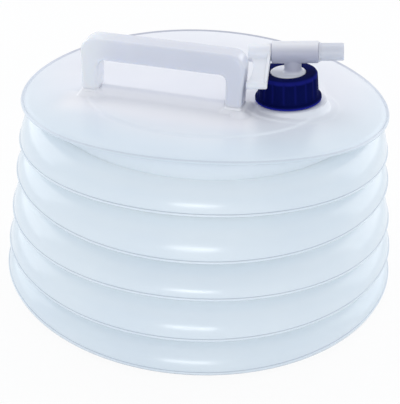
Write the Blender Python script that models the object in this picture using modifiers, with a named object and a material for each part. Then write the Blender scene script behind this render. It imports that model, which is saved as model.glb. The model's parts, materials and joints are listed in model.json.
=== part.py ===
"""Collapsible water carrier, 10 litre class, modelled in metres with +Z up.

The bottle is a blown concertina of six ridge rings.  Its top disc carries a
bridge handle and a threaded neck.  A screw collar clamps a rotary tap on the
neck, and a T shaped lever turns the tap's rotor.
The origin is on the floor, in the middle of the bottle's base.
"""
import bpy
import bmesh
import math
from mathutils import Matrix, Vector

# Fits and meshing
CLEARANCE = 0.0003
MITRE_LIMIT = math.radians(67.5)
ROUND_LIMIT = math.radians(60)
OVERRUN = 0.0020
MERGE = 0.00005
BOTTLE_STEPS = 48
NECK_STEPS = 32
SMALL_STEPS = 24
SEAL_SIDES = 8

# Bottle: the driving sizes of the concertina
RIDGE_RADIUS_TOP = 0.1375
RIDGE_RADIUS_BASE = 0.1516
RING_COUNT = 6
BASE_RING_HEIGHT = 0.011
LOWEST_FOLD_PITCH = 0.0226
FOLD_PITCH = 0.0296
FOLD_DEPTH = 0.0170
UNDERCUT_DROP = 0.0080
BEAD_HEIGHT = 0.0018
BEAD_STAND = 0.0009
BOTTLE_WALL = 0.0013
BULGE_SWEEP = math.radians(65)
BULGE_POINTS = 4

# Base of the bottle
FOOT_OUTER_RADIUS = 0.1350
FOOT_INNER_RADIUS = 0.1040
FOOT_ROUND_SHARES = ((0.42, 0.62), (0.80, 0.20))
PUSH_UP_SLOPE_RUN = 0.0050
PUSH_UP_HEIGHT = 0.0045
BASE_WALL = 0.0016

# Top disc of the bottle
DOME_RISE = 0.0060
DOME_STEP_RADIUS = 0.0900
DOME_STEP_RUN = 0.0016
DOME_STEP_DROP = 0.0009
DOME_STEP_HEIGHT = 0.0048
DOME_WALL = 0.0016
DOME_INNER_SHARES = (0.35, 0.70)
DOME_OUTER_SHARES = ((0.40, 0.74), (0.75, 0.38))

# How far ring 1 of the slack bottle stands above its place, around the bottle
RIM_LIFT_FRONT = 0.0107
RIM_LIFT_BACK = -0.0019
RIM_LIFT_SIDES = -0.0044
RIM_LIFT_TILT = -0.0007
RIM_LIFT_POWER = 3.2

# Neck and its shoulder, beside the handle's right leg
NECK_BEHIND_LEG = 0.0170
LEVER_LEG_GAP = 0.0030
NECK_LEAN = math.radians(4.7)
NECK_OUTER_RADIUS = 0.0190
NECK_WALL = 0.0035
NECK_ROOT_DEPTH = 0.0085
SHOULDER_MARGIN = 0.0032
SHOULDER_RUN = 0.0035
SHOULDER_RISE = 0.0026
SHOULDER_ROOT = 0.0042
SNAP_BEAD_STAND = 0.0007
SNAP_BEAD_HEIGHT = 0.0020

# Carry handle
HANDLE_X = -0.0307
HANDLE_Y = -0.0255
HANDLE_YAW = math.radians(-13.5)
LEG_SPACING = 0.1075
LEG_WIDTH = 0.0122
LEG_FLARE = 0.0010
HANDLE_TILT = math.radians(-0.6)
HANDLE_DEPTH = 0.0180
HANDLE_TOP_HEIGHT = 0.0490
GRIP_HEIGHT = 0.0165
HANDLE_CORNER = 0.0110
GRIP_CORNER = 0.0050
HANDLE_EDGE_ROUND = 0.0028
CORNER_POINTS = 5
PEG_LENGTH = 0.0055
PEG_WIDTH = 0.0080
PEG_DEPTH = 0.0120

# Raised bosses and rib that carry the handle
BOSS_TOP_HEIGHT = 0.0100
SADDLE_RIB_HEIGHT = 0.0108
BOSS_MARGIN = 0.0016
BOSS_ROOT_HEIGHT = 0.0010
BOSS_ROUND = 0.0030
SADDLE_RIB_RADIUS = 0.0060

# Screw collar
COLLAR_FOOT_CLEARANCE = 0.0006
COLLAR_HEIGHT = 0.0208
COLLAR_WALL = 0.0022
COLLAR_TAPER = 0.0008
COLLAR_EDGE_ROUND = 0.0018
COLLAR_FLANGE_STAND = 0.0021
COLLAR_FLANGE_HEIGHT = 0.0030
COLLAR_FLANGE_SLOPE = 0.0006
COLLAR_TOP_WALL = 0.0022
COLLAR_LIP = 0.0058
COLLAR_FLUTES = 16
COLLAR_FLUTE_DEPTH = 0.0005
COLLAR_STEPS_PER_FLUTE = 4

# Tap: flange, stem and barrel
TAP_YAW = math.radians(-4)
GASKET_HEIGHT = 0.0014
TAP_FLANGE_HEIGHT = 0.0022
TAP_FLANGE_MARGIN = 0.0010
STEM_OFFSET = 0.0035
STEM_RADIUS = 0.0062
STEM_BORE_RADIUS = 0.0038
STEM_FILLET = 0.0015
BARREL_RADIUS = 0.0080
BARREL_WALL = 0.0016
BARREL_AXIS_RISE = 0.0147
BARREL_LEFT = 0.0150
BARREL_RIGHT = 0.0185

# Rotor inside the barrel
NOZZLE_RADIUS = 0.0064
NOZZLE_REACH = 0.0180
ROTOR_WALL = 0.0018
ROTOR_SHOULDER_HEIGHT = 0.0012
ROTOR_SHOULDER_STAND = 0.0010
ROTOR_BLIND_DEPTH = 0.0080
PORT_RADIUS = 0.0030
SEAL_TUBE_RADIUS = 0.00055
SEAL_SQUEEZE_GAP = 0.00015
SEAL_GROOVE_WIDTH = 0.0018
SEAL_INSET = 0.0035
SPIGOT_RADIUS = 0.0036
SPIGOT_LENGTH = 0.0120
SPIGOT_FLATS = 6

# Lever on the rotor's left end
LEVER_DROP_ANGLE = math.radians(58)
LEVER_HUB_RADIUS = 0.0066
LEVER_HUB_LENGTH = 0.0168
LEVER_GRIP_LENGTH = 0.0150
LEVER_GRIP_SHIFT = 0.0024
LEVER_COLLAR_GAP = 0.0020
LEVER_PLATE = 0.0030
LEVER_WAIST_WIDTH = 0.0140
LEVER_WAIST_SHARE = 0.50
LEVER_GRIP_RADIUS = 0.0030
LEVER_RIM_WIDTH = 0.0022
LEVER_RIM_HEIGHT = 0.0060
LEVER_ROUND = 0.0006

# Sizes that follow from the ones above
NECK_BORE_RADIUS = NECK_OUTER_RADIUS - NECK_WALL
COLLAR_BORE_RADIUS = NECK_OUTER_RADIUS + SNAP_BEAD_STAND + CLEARANCE
COLLAR_RADIUS = COLLAR_BORE_RADIUS + COLLAR_WALL
COLLAR_TOP_RADIUS = COLLAR_RADIUS - COLLAR_TAPER
COLLAR_FLANGE_RADIUS = COLLAR_RADIUS + COLLAR_FLANGE_STAND
COLLAR_HOLE_RADIUS = NECK_OUTER_RADIUS - COLLAR_LIP
SHOULDER_TOP_RADIUS = COLLAR_FLANGE_RADIUS + SHOULDER_MARGIN
SHOULDER_RADIUS = SHOULDER_TOP_RADIUS + SHOULDER_RUN
LEVER_LENGTH = (COLLAR_RADIUS + LEVER_COLLAR_GAP) / math.sin(LEVER_DROP_ANGLE)

FULL_TURN = 2 * math.pi
QUARTER_TURN = math.pi / 2


def clear_scene():
    """Empty the scene that Blender starts with."""
    for item in list(bpy.data.objects):
        bpy.data.objects.remove(item, do_unlink=True)


def make_collection(name):
    """Add a collection to the scene."""
    group = bpy.data.collections.new(name)
    bpy.context.scene.collection.children.link(group)
    return group


def make_material(name, colour, roughness, alpha=1.0, transmission=0.0):
    """A Principled material for one kind of plastic or rubber."""
    surface = bpy.data.materials.new(name)
    surface.use_nodes = True
    shader = surface.node_tree.nodes["Principled BSDF"]
    shader.inputs["Base Color"].default_value = (*colour, 1.0)
    shader.inputs["Roughness"].default_value = roughness
    shader.inputs["Metallic"].default_value = 0.0
    shader.inputs["Alpha"].default_value = alpha
    shader.inputs["Transmission Weight"].default_value = transmission
    return surface


def add_object(name, data, group, surface=None, parent=None):
    """Link new data to the scene as a named object."""
    item = bpy.data.objects.new(name, data)
    group.objects.link(item)
    if surface is not None:
        data.materials.append(surface)
    item.parent = parent
    return item


def add_axis(name, location, rotation=(0, 0, 0), parent=None):
    """An empty that marks where a piece turns or slides."""
    marker = bpy.data.objects.new(name, None)
    bpy.context.scene.collection.objects.link(marker)
    marker.location = location
    marker.rotation_euler = rotation
    marker.parent = parent
    return marker


def as_cutter(item):
    """Mark a helper solid, which only shapes another one."""
    item.display_type = 'WIRE'
    item.hide_render = True
    return item


def combine(target, tool, operation):
    """Join a helper solid to a piece, or cut it out of the piece."""
    change = target.modifiers.new(tool.name, 'BOOLEAN')
    change.operation = operation
    change.object = tool
    change.solver = 'EXACT'


def turned(name, outline, steps, group, surface=None, parent=None, closed=True):
    """Turn an outline of (radius, height) points about the local Z axis."""
    data = bpy.data.meshes.new(name)
    count = len(outline)
    edges = [(i, i + 1) for i in range(count - 1)]
    if closed:
        edges.append((count - 1, 0))
    data.from_pydata([(radius, 0, height) for radius, height in outline], edges, [])
    item = add_object(name, data, group, surface, parent)
    screw = item.modifiers.new("turn", 'SCREW')
    screw.axis = 'Z'
    screw.steps = steps
    screw.render_steps = steps
    screw.use_merge_vertices = True
    screw.merge_threshold = MERGE
    screw.use_smooth_shade = False
    return item


def rod(name, radius, start, end, steps, group, surface=None, parent=None):
    """A plain cylinder along the local X axis."""
    data = bpy.data.meshes.new(name)
    shape = bmesh.new()
    place = Matrix.Translation(((start + end) / 2, 0, 0)) @ Matrix.Rotation(QUARTER_TURN, 4, 'Y')
    bmesh.ops.create_cone(shape, cap_ends=True, segments=steps, radius1=radius, radius2=radius,
                          depth=end - start, matrix=place)
    shape.to_mesh(data)
    shape.free()
    return add_object(name, data, group, surface, parent)


def settled(source):
    """The finished mesh of a form, whose object goes."""
    bpy.context.view_layer.update()
    data = bpy.data.meshes.new_from_object(source.evaluated_get(bpy.context.evaluated_depsgraph_get()))
    bpy.data.objects.remove(source, do_unlink=True)
    return data


def block(name, size, centre, group, rounding=0.0, surface=None, parent=None):
    """A box, with its edges rounded where a rounding is given."""
    data = bpy.data.meshes.new(name)
    shape = bmesh.new()
    bmesh.ops.create_cube(shape, size=1, matrix=Matrix.Diagonal((*size, 1)))
    shape.to_mesh(data)
    shape.free()
    item = add_object(name, data, group, surface, parent)
    item.location = centre
    if rounding:
        edge = item.modifiers.new("round", 'BEVEL')
        edge.width = rounding
        edge.segments = 2
        edge.limit_method = 'ANGLE'
    return item


def extruded(name, outline, thickness, group):
    """A flat plate in the local XZ plane, cut to an outline of (x, z) points."""
    curve = bpy.data.curves.new(name, 'CURVE')
    curve.dimensions = '2D'
    curve.fill_mode = 'BOTH'
    curve.extrude = thickness / 2
    spline = curve.splines.new('POLY')
    spline.points.add(len(outline) - 1)
    for point, (x, z) in zip(spline.points, outline):
        point.co = (x, z, 0, 1)
    spline.use_cyclic_u = True
    source = bpy.data.objects.new(name, curve)
    group.objects.link(source)
    source.rotation_euler = (QUARTER_TURN, 0, 0)
    bpy.context.view_layer.update()
    graph = bpy.context.evaluated_depsgraph_get()
    data = bpy.data.meshes.new_from_object(source.evaluated_get(graph))
    shape = bmesh.new()
    shape.from_mesh(data)
    bmesh.ops.remove_doubles(shape, verts=shape.verts, dist=MERGE)
    bmesh.ops.transform(shape, matrix=source.matrix_world, verts=shape.verts)
    bmesh.ops.recalc_face_normals(shape, faces=shape.faces)
    shape.to_mesh(data)
    shape.free()
    bpy.data.objects.remove(source, do_unlink=True)
    return data


def corner_arc(centre, radius, start, end, count):
    """Points along a round corner, from one angle to another."""
    angles = [start + (end - start) * i / (count - 1) for i in range(count)]
    return [(centre[0] + radius * math.cos(a), centre[1] + radius * math.sin(a)) for a in angles]


def offset_inward(points, wall):
    """Move an outline that runs down its outer side inward by the wall."""
    moved = []
    for i, (radius, height) in enumerate(points):
        before = Vector(points[max(i - 1, 0)])
        after = Vector(points[min(i + 1, len(points) - 1)])
        here = Vector((radius, height))
        normals = []
        for tail, head in ((before, here), (here, after)):
            step = head - tail
            if step.length > MERGE:
                normals.append(Vector((step.y, -step.x)).normalized())
        mean = sum(normals, Vector((0, 0))).normalized()
        reach = wall / max(mean.dot(normals[0]), math.cos(MITRE_LIMIT))
        moved.append((radius + mean.x * reach, height + mean.y * reach))
    return moved


# Heights and radii of the rings, counted from 1 at the top to 6 at the base
def ring_radius(ring):
    """Outer radius of a ridge ring, growing evenly down the bottle."""
    share = (ring - 1) / (RING_COUNT - 1)
    return RIDGE_RADIUS_TOP + (RIDGE_RADIUS_BASE - RIDGE_RADIUS_TOP) * share


def ring_height(ring):
    """Height of a ridge ring above the floor."""
    if ring == RING_COUNT:
        return BASE_RING_HEIGHT
    return BASE_RING_HEIGHT + LOWEST_FOLD_PITCH + FOLD_PITCH * (RING_COUNT - 1 - ring)


def valley(ring):
    """Radius and height of the crease below a ridge ring."""
    return ring_radius(ring) - FOLD_DEPTH, ring_height(ring) - UNDERCUT_DROP


def bulge(ring):
    """Convex flank from the crease above a ring down to the ring."""
    crease_radius, crease_height = valley(ring - 1)
    ridge = ring_radius(ring) - BEAD_STAND
    depth = ridge - crease_radius
    rise = crease_height - ring_height(ring) - CLEARANCE / 2
    width = depth / (1 - math.cos(BULGE_SWEEP))
    height = rise / math.sin(BULGE_SWEEP)
    points = []
    for i in range(BULGE_POINTS):
        angle = BULGE_SWEEP * (1 - i / (BULGE_POINTS - 1))
        points.append((ridge - width * (1 - math.cos(angle)), ring_height(ring) + height * math.sin(angle)))
    return points


def bead(ring):
    """Thin moulded bead on the crest of a ring, from its top edge down."""
    radius = ring_radius(ring)
    height = ring_height(ring)
    half = BEAD_HEIGHT / 2
    return [(radius - BEAD_STAND, height + half), (radius, height + half / 2),
            (radius, height - half / 2), (radius - BEAD_STAND, height - half)]


def undercut_end(ring):
    """Lower edge of the flank that runs in under a ring."""
    radius, height = valley(ring)
    return radius, height + CLEARANCE / 2


def fold_outline(ring):
    """Closed wall section of one fold, from crease to crease."""
    upper = bulge(ring)
    lower = undercut_end(ring)
    outer = upper[:-1] + bead(ring) + [lower]
    core = upper + [lower]
    inner = offset_inward(core, BOTTLE_WALL)
    slope = math.atan2(UNDERCUT_DROP, FOLD_DEPTH)
    inner[0] = (upper[0][0] - BOTTLE_WALL, upper[0][1])
    inner[-1] = (lower[0] - BOTTLE_WALL / math.sin(slope), lower[1])
    return outer + inner[::-1]


def make_fold(ring, group, surface, parent):
    """One fold of the concertina, which flattens as the bottle collapses."""
    item = turned("fold_%d" % ring, fold_outline(ring), BOTTLE_STEPS, group, surface)
    keep_place(item, parent)
    return item


def keep_place(item, parent):
    """Parent an object and leave it where it stands in the world."""
    bpy.context.view_layer.update()
    item.parent = parent
    if parent is not None:
        item.matrix_parent_inverse = parent.matrix_world.inverted()


def make_base(group, surface):
    """Base of the bottle: lowest bulge, base ring, foot and pushed up middle."""
    upper = bulge(RING_COUNT)
    ridge_radius = ring_radius(RING_COUNT) - BEAD_STAND
    run = ridge_radius - FOOT_OUTER_RADIUS
    rounding = [(ridge_radius - run * (1 - math.cos(QUARTER_TURN * a)),
                 BASE_RING_HEIGHT * b) for a, b in FOOT_ROUND_SHARES]
    foot = [(FOOT_OUTER_RADIUS, 0), (FOOT_INNER_RADIUS, 0),
            (FOOT_INNER_RADIUS - PUSH_UP_SLOPE_RUN, PUSH_UP_HEIGHT)]
    outer = upper[:-1] + bead(RING_COUNT) + rounding + foot
    core = upper + rounding + foot + [(0, PUSH_UP_HEIGHT)]
    inner = offset_inward(core, BASE_WALL)
    inner[0] = (upper[0][0] - BASE_WALL, upper[0][1])
    inner[-1] = (0, PUSH_UP_HEIGHT + BASE_WALL)
    outline = inner[::-1] + outer + [(0, PUSH_UP_HEIGHT)]
    return turned("base_pan", outline, BOTTLE_STEPS, group, surface, closed=False)


def dome_outer(top_height):
    """Outer side of the top disc, from its middle to the crest of ring 1."""
    rim_radius = ring_radius(1) - BEAD_STAND
    step_foot = DOME_STEP_HEIGHT - DOME_STEP_DROP
    points = [(0, top_height + DOME_RISE)]
    for share in DOME_INNER_SHARES:
        drop = (DOME_RISE - DOME_STEP_HEIGHT) * share ** 2
        points.append((DOME_STEP_RADIUS * share, top_height + DOME_RISE - drop))
    points.append((DOME_STEP_RADIUS, top_height + DOME_STEP_HEIGHT))
    points.append((DOME_STEP_RADIUS + DOME_STEP_RUN, top_height + step_foot))
    skirt = rim_radius - DOME_STEP_RADIUS
    for run, rise in DOME_OUTER_SHARES:
        points.append((DOME_STEP_RADIUS + skirt * run, top_height + step_foot * rise))
    return points


def dome_height(distance):
    """Height of the top disc above the floor, at a distance inside its step."""
    share = distance / DOME_STEP_RADIUS
    return ring_height(1) + DOME_RISE - (DOME_RISE - DOME_STEP_HEIGHT) * share ** 2


def handle_place(along, across, lift):
    """A place on the handle, counted from its middle at ring 1, in the world."""
    turn = Matrix.Rotation(HANDLE_YAW, 3, 'Z') @ Matrix.Rotation(HANDLE_TILT, 3, 'Y')
    return Vector((HANDLE_X, HANDLE_Y, ring_height(1))) + turn @ Vector((along, across, lift))


def neck_root():
    """Where the neck's axis meets the top disc, clear of the handle and lever."""
    leg_side = LEG_SPACING / 2 + LEG_WIDTH / 2 + LEG_FLARE
    lever_reach = CLEARANCE + max(LEVER_HUB_LENGTH, LEVER_GRIP_SHIFT + LEVER_GRIP_LENGTH)
    x = handle_place(leg_side, 0, 0).x + LEVER_LEG_GAP + lever_reach + BARREL_LEFT - STEM_OFFSET
    y = handle_place(LEG_SPACING / 2, 0, 0).y + NECK_BEHIND_LEG
    return x, y, dome_height(math.hypot(x, y))


def collar_foot():
    """Height of the collar's foot above the neck's root."""
    return SHOULDER_RISE + COLLAR_FOOT_CLEARANCE


def flange_foot():
    """Height of the tap's flange, which the collar's top holds down."""
    return collar_foot() + COLLAR_HEIGHT - COLLAR_TOP_WALL - CLEARANCE - TAP_FLANGE_HEIGHT


def neck_rim():
    """Height of the neck's rim, which carries the gasket and the flange."""
    return flange_foot() - GASKET_HEIGHT - 2 * CLEARANCE


def make_neck(group, axis):
    """Threaded neck, its shoulder and its bore, as helper solids."""
    rim = neck_rim()
    catch = collar_foot() + COLLAR_FLANGE_HEIGHT
    outline = [
        (0, rim), (NECK_OUTER_RADIUS, rim),
        (NECK_OUTER_RADIUS, catch + SNAP_BEAD_HEIGHT),
        (NECK_OUTER_RADIUS + SNAP_BEAD_STAND, catch + SNAP_BEAD_HEIGHT / 2),
        (NECK_OUTER_RADIUS, catch),
        (NECK_OUTER_RADIUS, SHOULDER_RISE),
        (SHOULDER_TOP_RADIUS, SHOULDER_RISE), (SHOULDER_RADIUS, -SHOULDER_ROOT),
        (0, -SHOULDER_ROOT)]
    solid = turned("neck_form", outline, NECK_STEPS, group, parent=axis, closed=False)
    bore = [(0, rim + OVERRUN), (NECK_BORE_RADIUS, rim + OVERRUN),
            (NECK_BORE_RADIUS, -NECK_ROOT_DEPTH), (0, -NECK_ROOT_DEPTH)]
    hollow = turned("neck_bore", bore, NECK_STEPS, group, parent=axis, closed=False)
    hollow.rotation_euler = (0, 0, FULL_TURN / NECK_STEPS / 2)
    return as_cutter(solid), as_cutter(hollow)


def leg_centres():
    """Where the handle's two legs stand, in the handle's own frame."""
    return -LEG_SPACING / 2, LEG_SPACING / 2


def make_bosses(group, frame):
    """Bosses with sockets for the handle's pegs, and the rib between them."""
    solids = []
    sockets = []
    for side, x in zip(("left", "right"), leg_centres()):
        size = (LEG_WIDTH + 2 * BOSS_MARGIN, HANDLE_DEPTH + 2 * BOSS_MARGIN,
                BOSS_TOP_HEIGHT - BOSS_ROOT_HEIGHT)
        middle = (x, 0, BOSS_TOP_HEIGHT - size[2] / 2)
        solids.append(block("boss_" + side, size, middle, group, BOSS_ROUND, parent=frame))
        hole = (PEG_WIDTH + 2 * CLEARANCE, PEG_DEPTH + 2 * CLEARANCE, PEG_LENGTH + OVERRUN)
        place = (x, 0, BOSS_TOP_HEIGHT - PEG_LENGTH + hole[2] / 2)
        sockets.append(block("socket_" + side, hole, place, group, parent=frame))
    rib_end = LEG_SPACING / 2 - LEG_WIDTH / 2 - CLEARANCE
    rib = rod("saddle_rib", SADDLE_RIB_RADIUS, -rib_end, rib_end, NECK_STEPS // 2, group, parent=frame)
    rib.location = (0, 0, SADDLE_RIB_HEIGHT - SADDLE_RIB_RADIUS)
    solids.append(rib)
    for item in solids + sockets:
        as_cutter(item)
    return solids, sockets


def rim_lift(x, y):
    """How far ring 1 stands above its place, in the direction of a point."""
    distance = math.hypot(x, y)
    toward = -y / distance
    middle = (RIM_LIFT_FRONT + RIM_LIFT_BACK) / 2
    lift = (middle + RIM_LIFT_SIDES) / 2 + (RIM_LIFT_FRONT - RIM_LIFT_BACK) / 2 * toward
    lift += (middle - RIM_LIFT_SIDES) / 2 * (2 * toward ** 2 - 1)
    return lift + RIM_LIFT_TILT * x / distance


def lift_rim(data):
    """Bend the top disc with its slack rim; its middle and crease stay."""
    crest = ring_radius(1) - BEAD_STAND
    crease = undercut_end(1)[1]
    bead_foot = ring_height(1) - BEAD_HEIGHT / 2
    for vertex in data.vertices:
        distance = math.hypot(vertex.co.x, vertex.co.y)
        if distance > MERGE:
            share = min(distance / crest, 1) ** RIM_LIFT_POWER
            share *= min(max((vertex.co.z - crease) / (bead_foot - crease), 0), 1)
            vertex.co.z += rim_lift(vertex.co.x, vertex.co.y) * share
    form = bmesh.new()
    form.from_mesh(data)
    bmesh.ops.triangulate(form, faces=form.faces)
    form.to_mesh(data)
    form.free()


def make_top(group, helpers, surface, handle_frame, neck_axis):
    """Top disc with ring 1, the neck, the bosses and their rib."""
    top_height = ring_height(1)
    lower = undercut_end(1)
    skin = dome_outer(top_height)
    crest = (ring_radius(1) - BEAD_STAND, top_height)
    inner = offset_inward(skin + [crest, lower], DOME_WALL)
    slope = math.atan2(UNDERCUT_DROP, FOLD_DEPTH)
    inner[0] = (0, top_height + DOME_RISE - DOME_WALL)
    inner[-1] = (lower[0] - DOME_WALL / math.sin(slope), lower[1])
    outline = skin + bead(1) + [lower] + inner[::-1]
    data = settled(turned("top_blank", outline, BOTTLE_STEPS, group, closed=False))
    lift_rim(data)
    shell = add_object("top_shell", data, group, surface)
    neck, bore = make_neck(helpers, neck_axis)
    solids, sockets = make_bosses(helpers, handle_frame)
    for item in [neck] + solids:
        combine(shell, item, 'UNION')
    for item in [bore] + sockets:
        combine(shell, item, 'DIFFERENCE')
    return shell


def handle_outline(foot, top):
    """Outline of the bridge handle: legs, grip and finger opening."""
    right = leg_centres()[1]
    under = top - GRIP_HEIGHT
    half = LEG_WIDTH / 2
    outer = right + half + LEG_FLARE
    shoulder_centre = (outer - HANDLE_CORNER, top - HANDLE_CORNER)
    finger_centre = (right - half - GRIP_CORNER, under - GRIP_CORNER)
    shoulder = corner_arc(shoulder_centre, HANDLE_CORNER, 0, QUARTER_TURN, CORNER_POINTS)
    finger = corner_arc(finger_centre, GRIP_CORNER, 0, QUARTER_TURN, CORNER_POINTS)
    points = [(right - half, foot), (right + half, foot)] + shoulder
    points += [(-x, z) for x, z in shoulder[::-1]]
    points += [(-right - half, foot), (-right + half, foot)]
    points += [(-x, z) for x, z in finger]
    return points + finger[::-1]


def make_handle(group, helpers, surface, frame):
    """Bridge handle, rounded along its outline and pegged into the bosses."""
    foot = BOSS_TOP_HEIGHT + CLEARANCE
    data = extruded("carry_handle", handle_outline(foot, HANDLE_TOP_HEIGHT), HANDLE_DEPTH, group)
    item = add_object("carry_handle", data, group, surface, frame)
    edge = item.modifiers.new("round", 'BEVEL')
    edge.width = HANDLE_EDGE_ROUND
    edge.segments = 2
    edge.limit_method = 'ANGLE'
    edge.angle_limit = ROUND_LIMIT
    for side, x in zip(("left", "right"), leg_centres()):
        size = (PEG_WIDTH, PEG_DEPTH, PEG_LENGTH + OVERRUN)
        place = (x, 0, foot - PEG_LENGTH + size[2] / 2)
        combine(item, as_cutter(block("peg_" + side, size, place, helpers, parent=frame)), 'UNION')
    return item


def make_gasket(group, surface, parent, base):
    """Flat rubber ring between the neck's rim and the tap's flange."""
    inner = NECK_BORE_RADIUS
    outer = NECK_OUTER_RADIUS
    outline = [(outer, GASKET_HEIGHT), (outer, 0), (inner, 0), (inner, GASKET_HEIGHT)]
    item = turned("neck_gasket", outline, NECK_STEPS, group, surface, parent)
    item.location = (0, 0, base)
    return item


def make_collar(group, surface, parent):
    """Screw collar: fluted skirt, foot flange and a hole for the tap."""
    inner_top = COLLAR_HEIGHT - COLLAR_TOP_WALL
    round_over = COLLAR_EDGE_ROUND
    outline = [
        (COLLAR_HOLE_RADIUS, COLLAR_HEIGHT),
        (COLLAR_TOP_RADIUS - round_over, COLLAR_HEIGHT),
        (COLLAR_TOP_RADIUS - round_over * (1 - math.sin(QUARTER_TURN / 2)),
         COLLAR_HEIGHT - round_over * (1 - math.cos(QUARTER_TURN / 2))),
        (COLLAR_TOP_RADIUS, COLLAR_HEIGHT - round_over),
        (COLLAR_RADIUS, COLLAR_FLANGE_HEIGHT),
        (COLLAR_FLANGE_RADIUS, COLLAR_FLANGE_HEIGHT - COLLAR_FLANGE_SLOPE),
        (COLLAR_FLANGE_RADIUS, 0),
        (COLLAR_BORE_RADIUS, 0),
        (COLLAR_BORE_RADIUS, inner_top),
        (COLLAR_HOLE_RADIUS, inner_top)]
    steps = COLLAR_FLUTES * COLLAR_STEPS_PER_FLUTE
    data = settled(turned("collar_blank", outline, steps, group))
    low = COLLAR_FLANGE_HEIGHT + MERGE
    high = COLLAR_HEIGHT - round_over - MERGE
    for vertex in data.vertices:
        radius = math.hypot(vertex.co.x, vertex.co.y)
        on_skirt = radius > COLLAR_BORE_RADIUS + MERGE and low - 2 * MERGE < vertex.co.z < high + 2 * MERGE
        if on_skirt:
            angle = math.atan2(vertex.co.y, vertex.co.x)
            dip = COLLAR_FLUTE_DEPTH * math.sin(angle * COLLAR_FLUTES / 2) ** 4
            vertex.co.x *= 1 - dip / radius
            vertex.co.y *= 1 - dip / radius
    return add_object("screw_collar", data, group, surface, parent)


def make_tap_body(group, helpers, surface, parent, axis_height):
    """Flange, stem and barrel in one moulding, bored for the rotor."""
    flange_radius = NECK_OUTER_RADIUS - TAP_FLANGE_MARGIN
    disc_radius = COLLAR_HOLE_RADIUS - CLEARANCE
    disc_top = TAP_FLANGE_HEIGHT + CLEARANCE + COLLAR_TOP_WALL
    flange = [(0, disc_top), (disc_radius, disc_top), (disc_radius, TAP_FLANGE_HEIGHT),
              (flange_radius, TAP_FLANGE_HEIGHT), (flange_radius, 0), (0, 0)]
    item = turned("tap_body", flange, SMALL_STEPS, group, surface, parent, closed=False)
    stem = turned("stem_form", [(0, axis_height), (STEM_RADIUS, axis_height),
                                (STEM_RADIUS, disc_top + STEM_FILLET), (STEM_RADIUS + STEM_FILLET, disc_top),
                                (STEM_RADIUS + STEM_FILLET, TAP_FLANGE_HEIGHT), (0, TAP_FLANGE_HEIGHT)],
                  SMALL_STEPS, helpers, parent=parent, closed=False)
    barrel = rod("barrel_form", BARREL_RADIUS, -BARREL_LEFT, BARREL_RIGHT, SMALL_STEPS, helpers,
                 parent=parent)
    bore = rod("barrel_bore", BARREL_RADIUS - BARREL_WALL, -BARREL_LEFT - OVERRUN, BARREL_RIGHT + OVERRUN,
               SMALL_STEPS, helpers, parent=parent)
    way = turned("stem_bore", [(0, axis_height), (STEM_BORE_RADIUS, axis_height),
                               (STEM_BORE_RADIUS, -OVERRUN), (0, -OVERRUN)],
                 SMALL_STEPS // 2, helpers, parent=parent, closed=False)
    stem.location = way.location = (STEM_OFFSET, 0, 0)
    barrel.location = bore.location = (STEM_OFFSET, 0, axis_height)
    for helper, operation in ((stem, 'UNION'), (barrel, 'UNION'), (bore, 'DIFFERENCE'), (way, 'DIFFERENCE')):
        combine(item, as_cutter(helper), operation)
    return item


def rotor_radius():
    """Running radius of the rotor in the barrel."""
    return BARREL_RADIUS - BARREL_WALL - CLEARANCE


def seal_places():
    """Middles of the two seal grooves along the rotor."""
    return -BARREL_LEFT + SEAL_INSET, BARREL_RIGHT - SEAL_INSET


def groove_radius():
    """Floor radius of a seal groove."""
    return rotor_radius() + CLEARANCE - 2 * SEAL_TUBE_RADIUS - 2 * SEAL_SQUEEZE_GAP


def rotor_outline():
    """Rotor section along its axis, from the nozzle down to the spigot."""
    radius = rotor_radius()
    nozzle_end = BARREL_RIGHT + NOZZLE_REACH
    bore = NOZZLE_RADIUS - ROTOR_WALL
    shoulder = BARREL_RIGHT + CLEARANCE
    half = SEAL_GROOVE_WIDTH / 2
    points = [(0, -ROTOR_BLIND_DEPTH), (bore, -ROTOR_BLIND_DEPTH), (bore, nozzle_end),
              (NOZZLE_RADIUS, nozzle_end), (NOZZLE_RADIUS, shoulder + ROTOR_SHOULDER_HEIGHT),
              (radius + ROTOR_SHOULDER_STAND, shoulder + ROTOR_SHOULDER_HEIGHT),
              (radius + ROTOR_SHOULDER_STAND, shoulder), (radius, shoulder)]
    for place in seal_places()[::-1]:
        points += [(radius, place + half), (groove_radius(), place + half),
                   (groove_radius(), place - half), (radius, place - half)]
    points += [(radius, -BARREL_LEFT), (0, -BARREL_LEFT)]
    return points


def make_rotor(group, helpers, surface, parent):
    """Hollow rotor: nozzle, side port, seal grooves and six sided spigot."""
    item = turned("tap_rotor", rotor_outline(), SMALL_STEPS, group, surface, parent, closed=False)
    item.rotation_euler = (0, QUARTER_TURN, 0)
    spigot = rod("rotor_spigot", SPIGOT_RADIUS, -BARREL_LEFT - SPIGOT_LENGTH, -BARREL_LEFT + OVERRUN,
                 SPIGOT_FLATS, helpers, parent=parent)
    port = block("rotor_port", (2 * PORT_RADIUS, 2 * BARREL_RADIUS, 2 * PORT_RADIUS),
                 (0, BARREL_RADIUS, 0), helpers, parent=parent)
    for helper in (spigot, port):
        as_cutter(helper)
    combine(item, spigot, 'UNION')
    combine(item, port, 'DIFFERENCE')
    return item


def make_seal(name, place, group, surface, parent):
    """One O-ring in its groove on the rotor."""
    middle = groove_radius() + SEAL_TUBE_RADIUS + SEAL_SQUEEZE_GAP
    outline = []
    for i in range(SEAL_SIDES):
        angle = FULL_TURN * i / SEAL_SIDES
        outline.append((middle + SEAL_TUBE_RADIUS * math.cos(angle), -SEAL_TUBE_RADIUS * math.sin(angle)))
    item = turned(name, outline, SMALL_STEPS, group, surface, parent)
    item.rotation_euler = (0, QUARTER_TURN, 0)
    item.location = (place, 0, 0)
    return item


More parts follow.
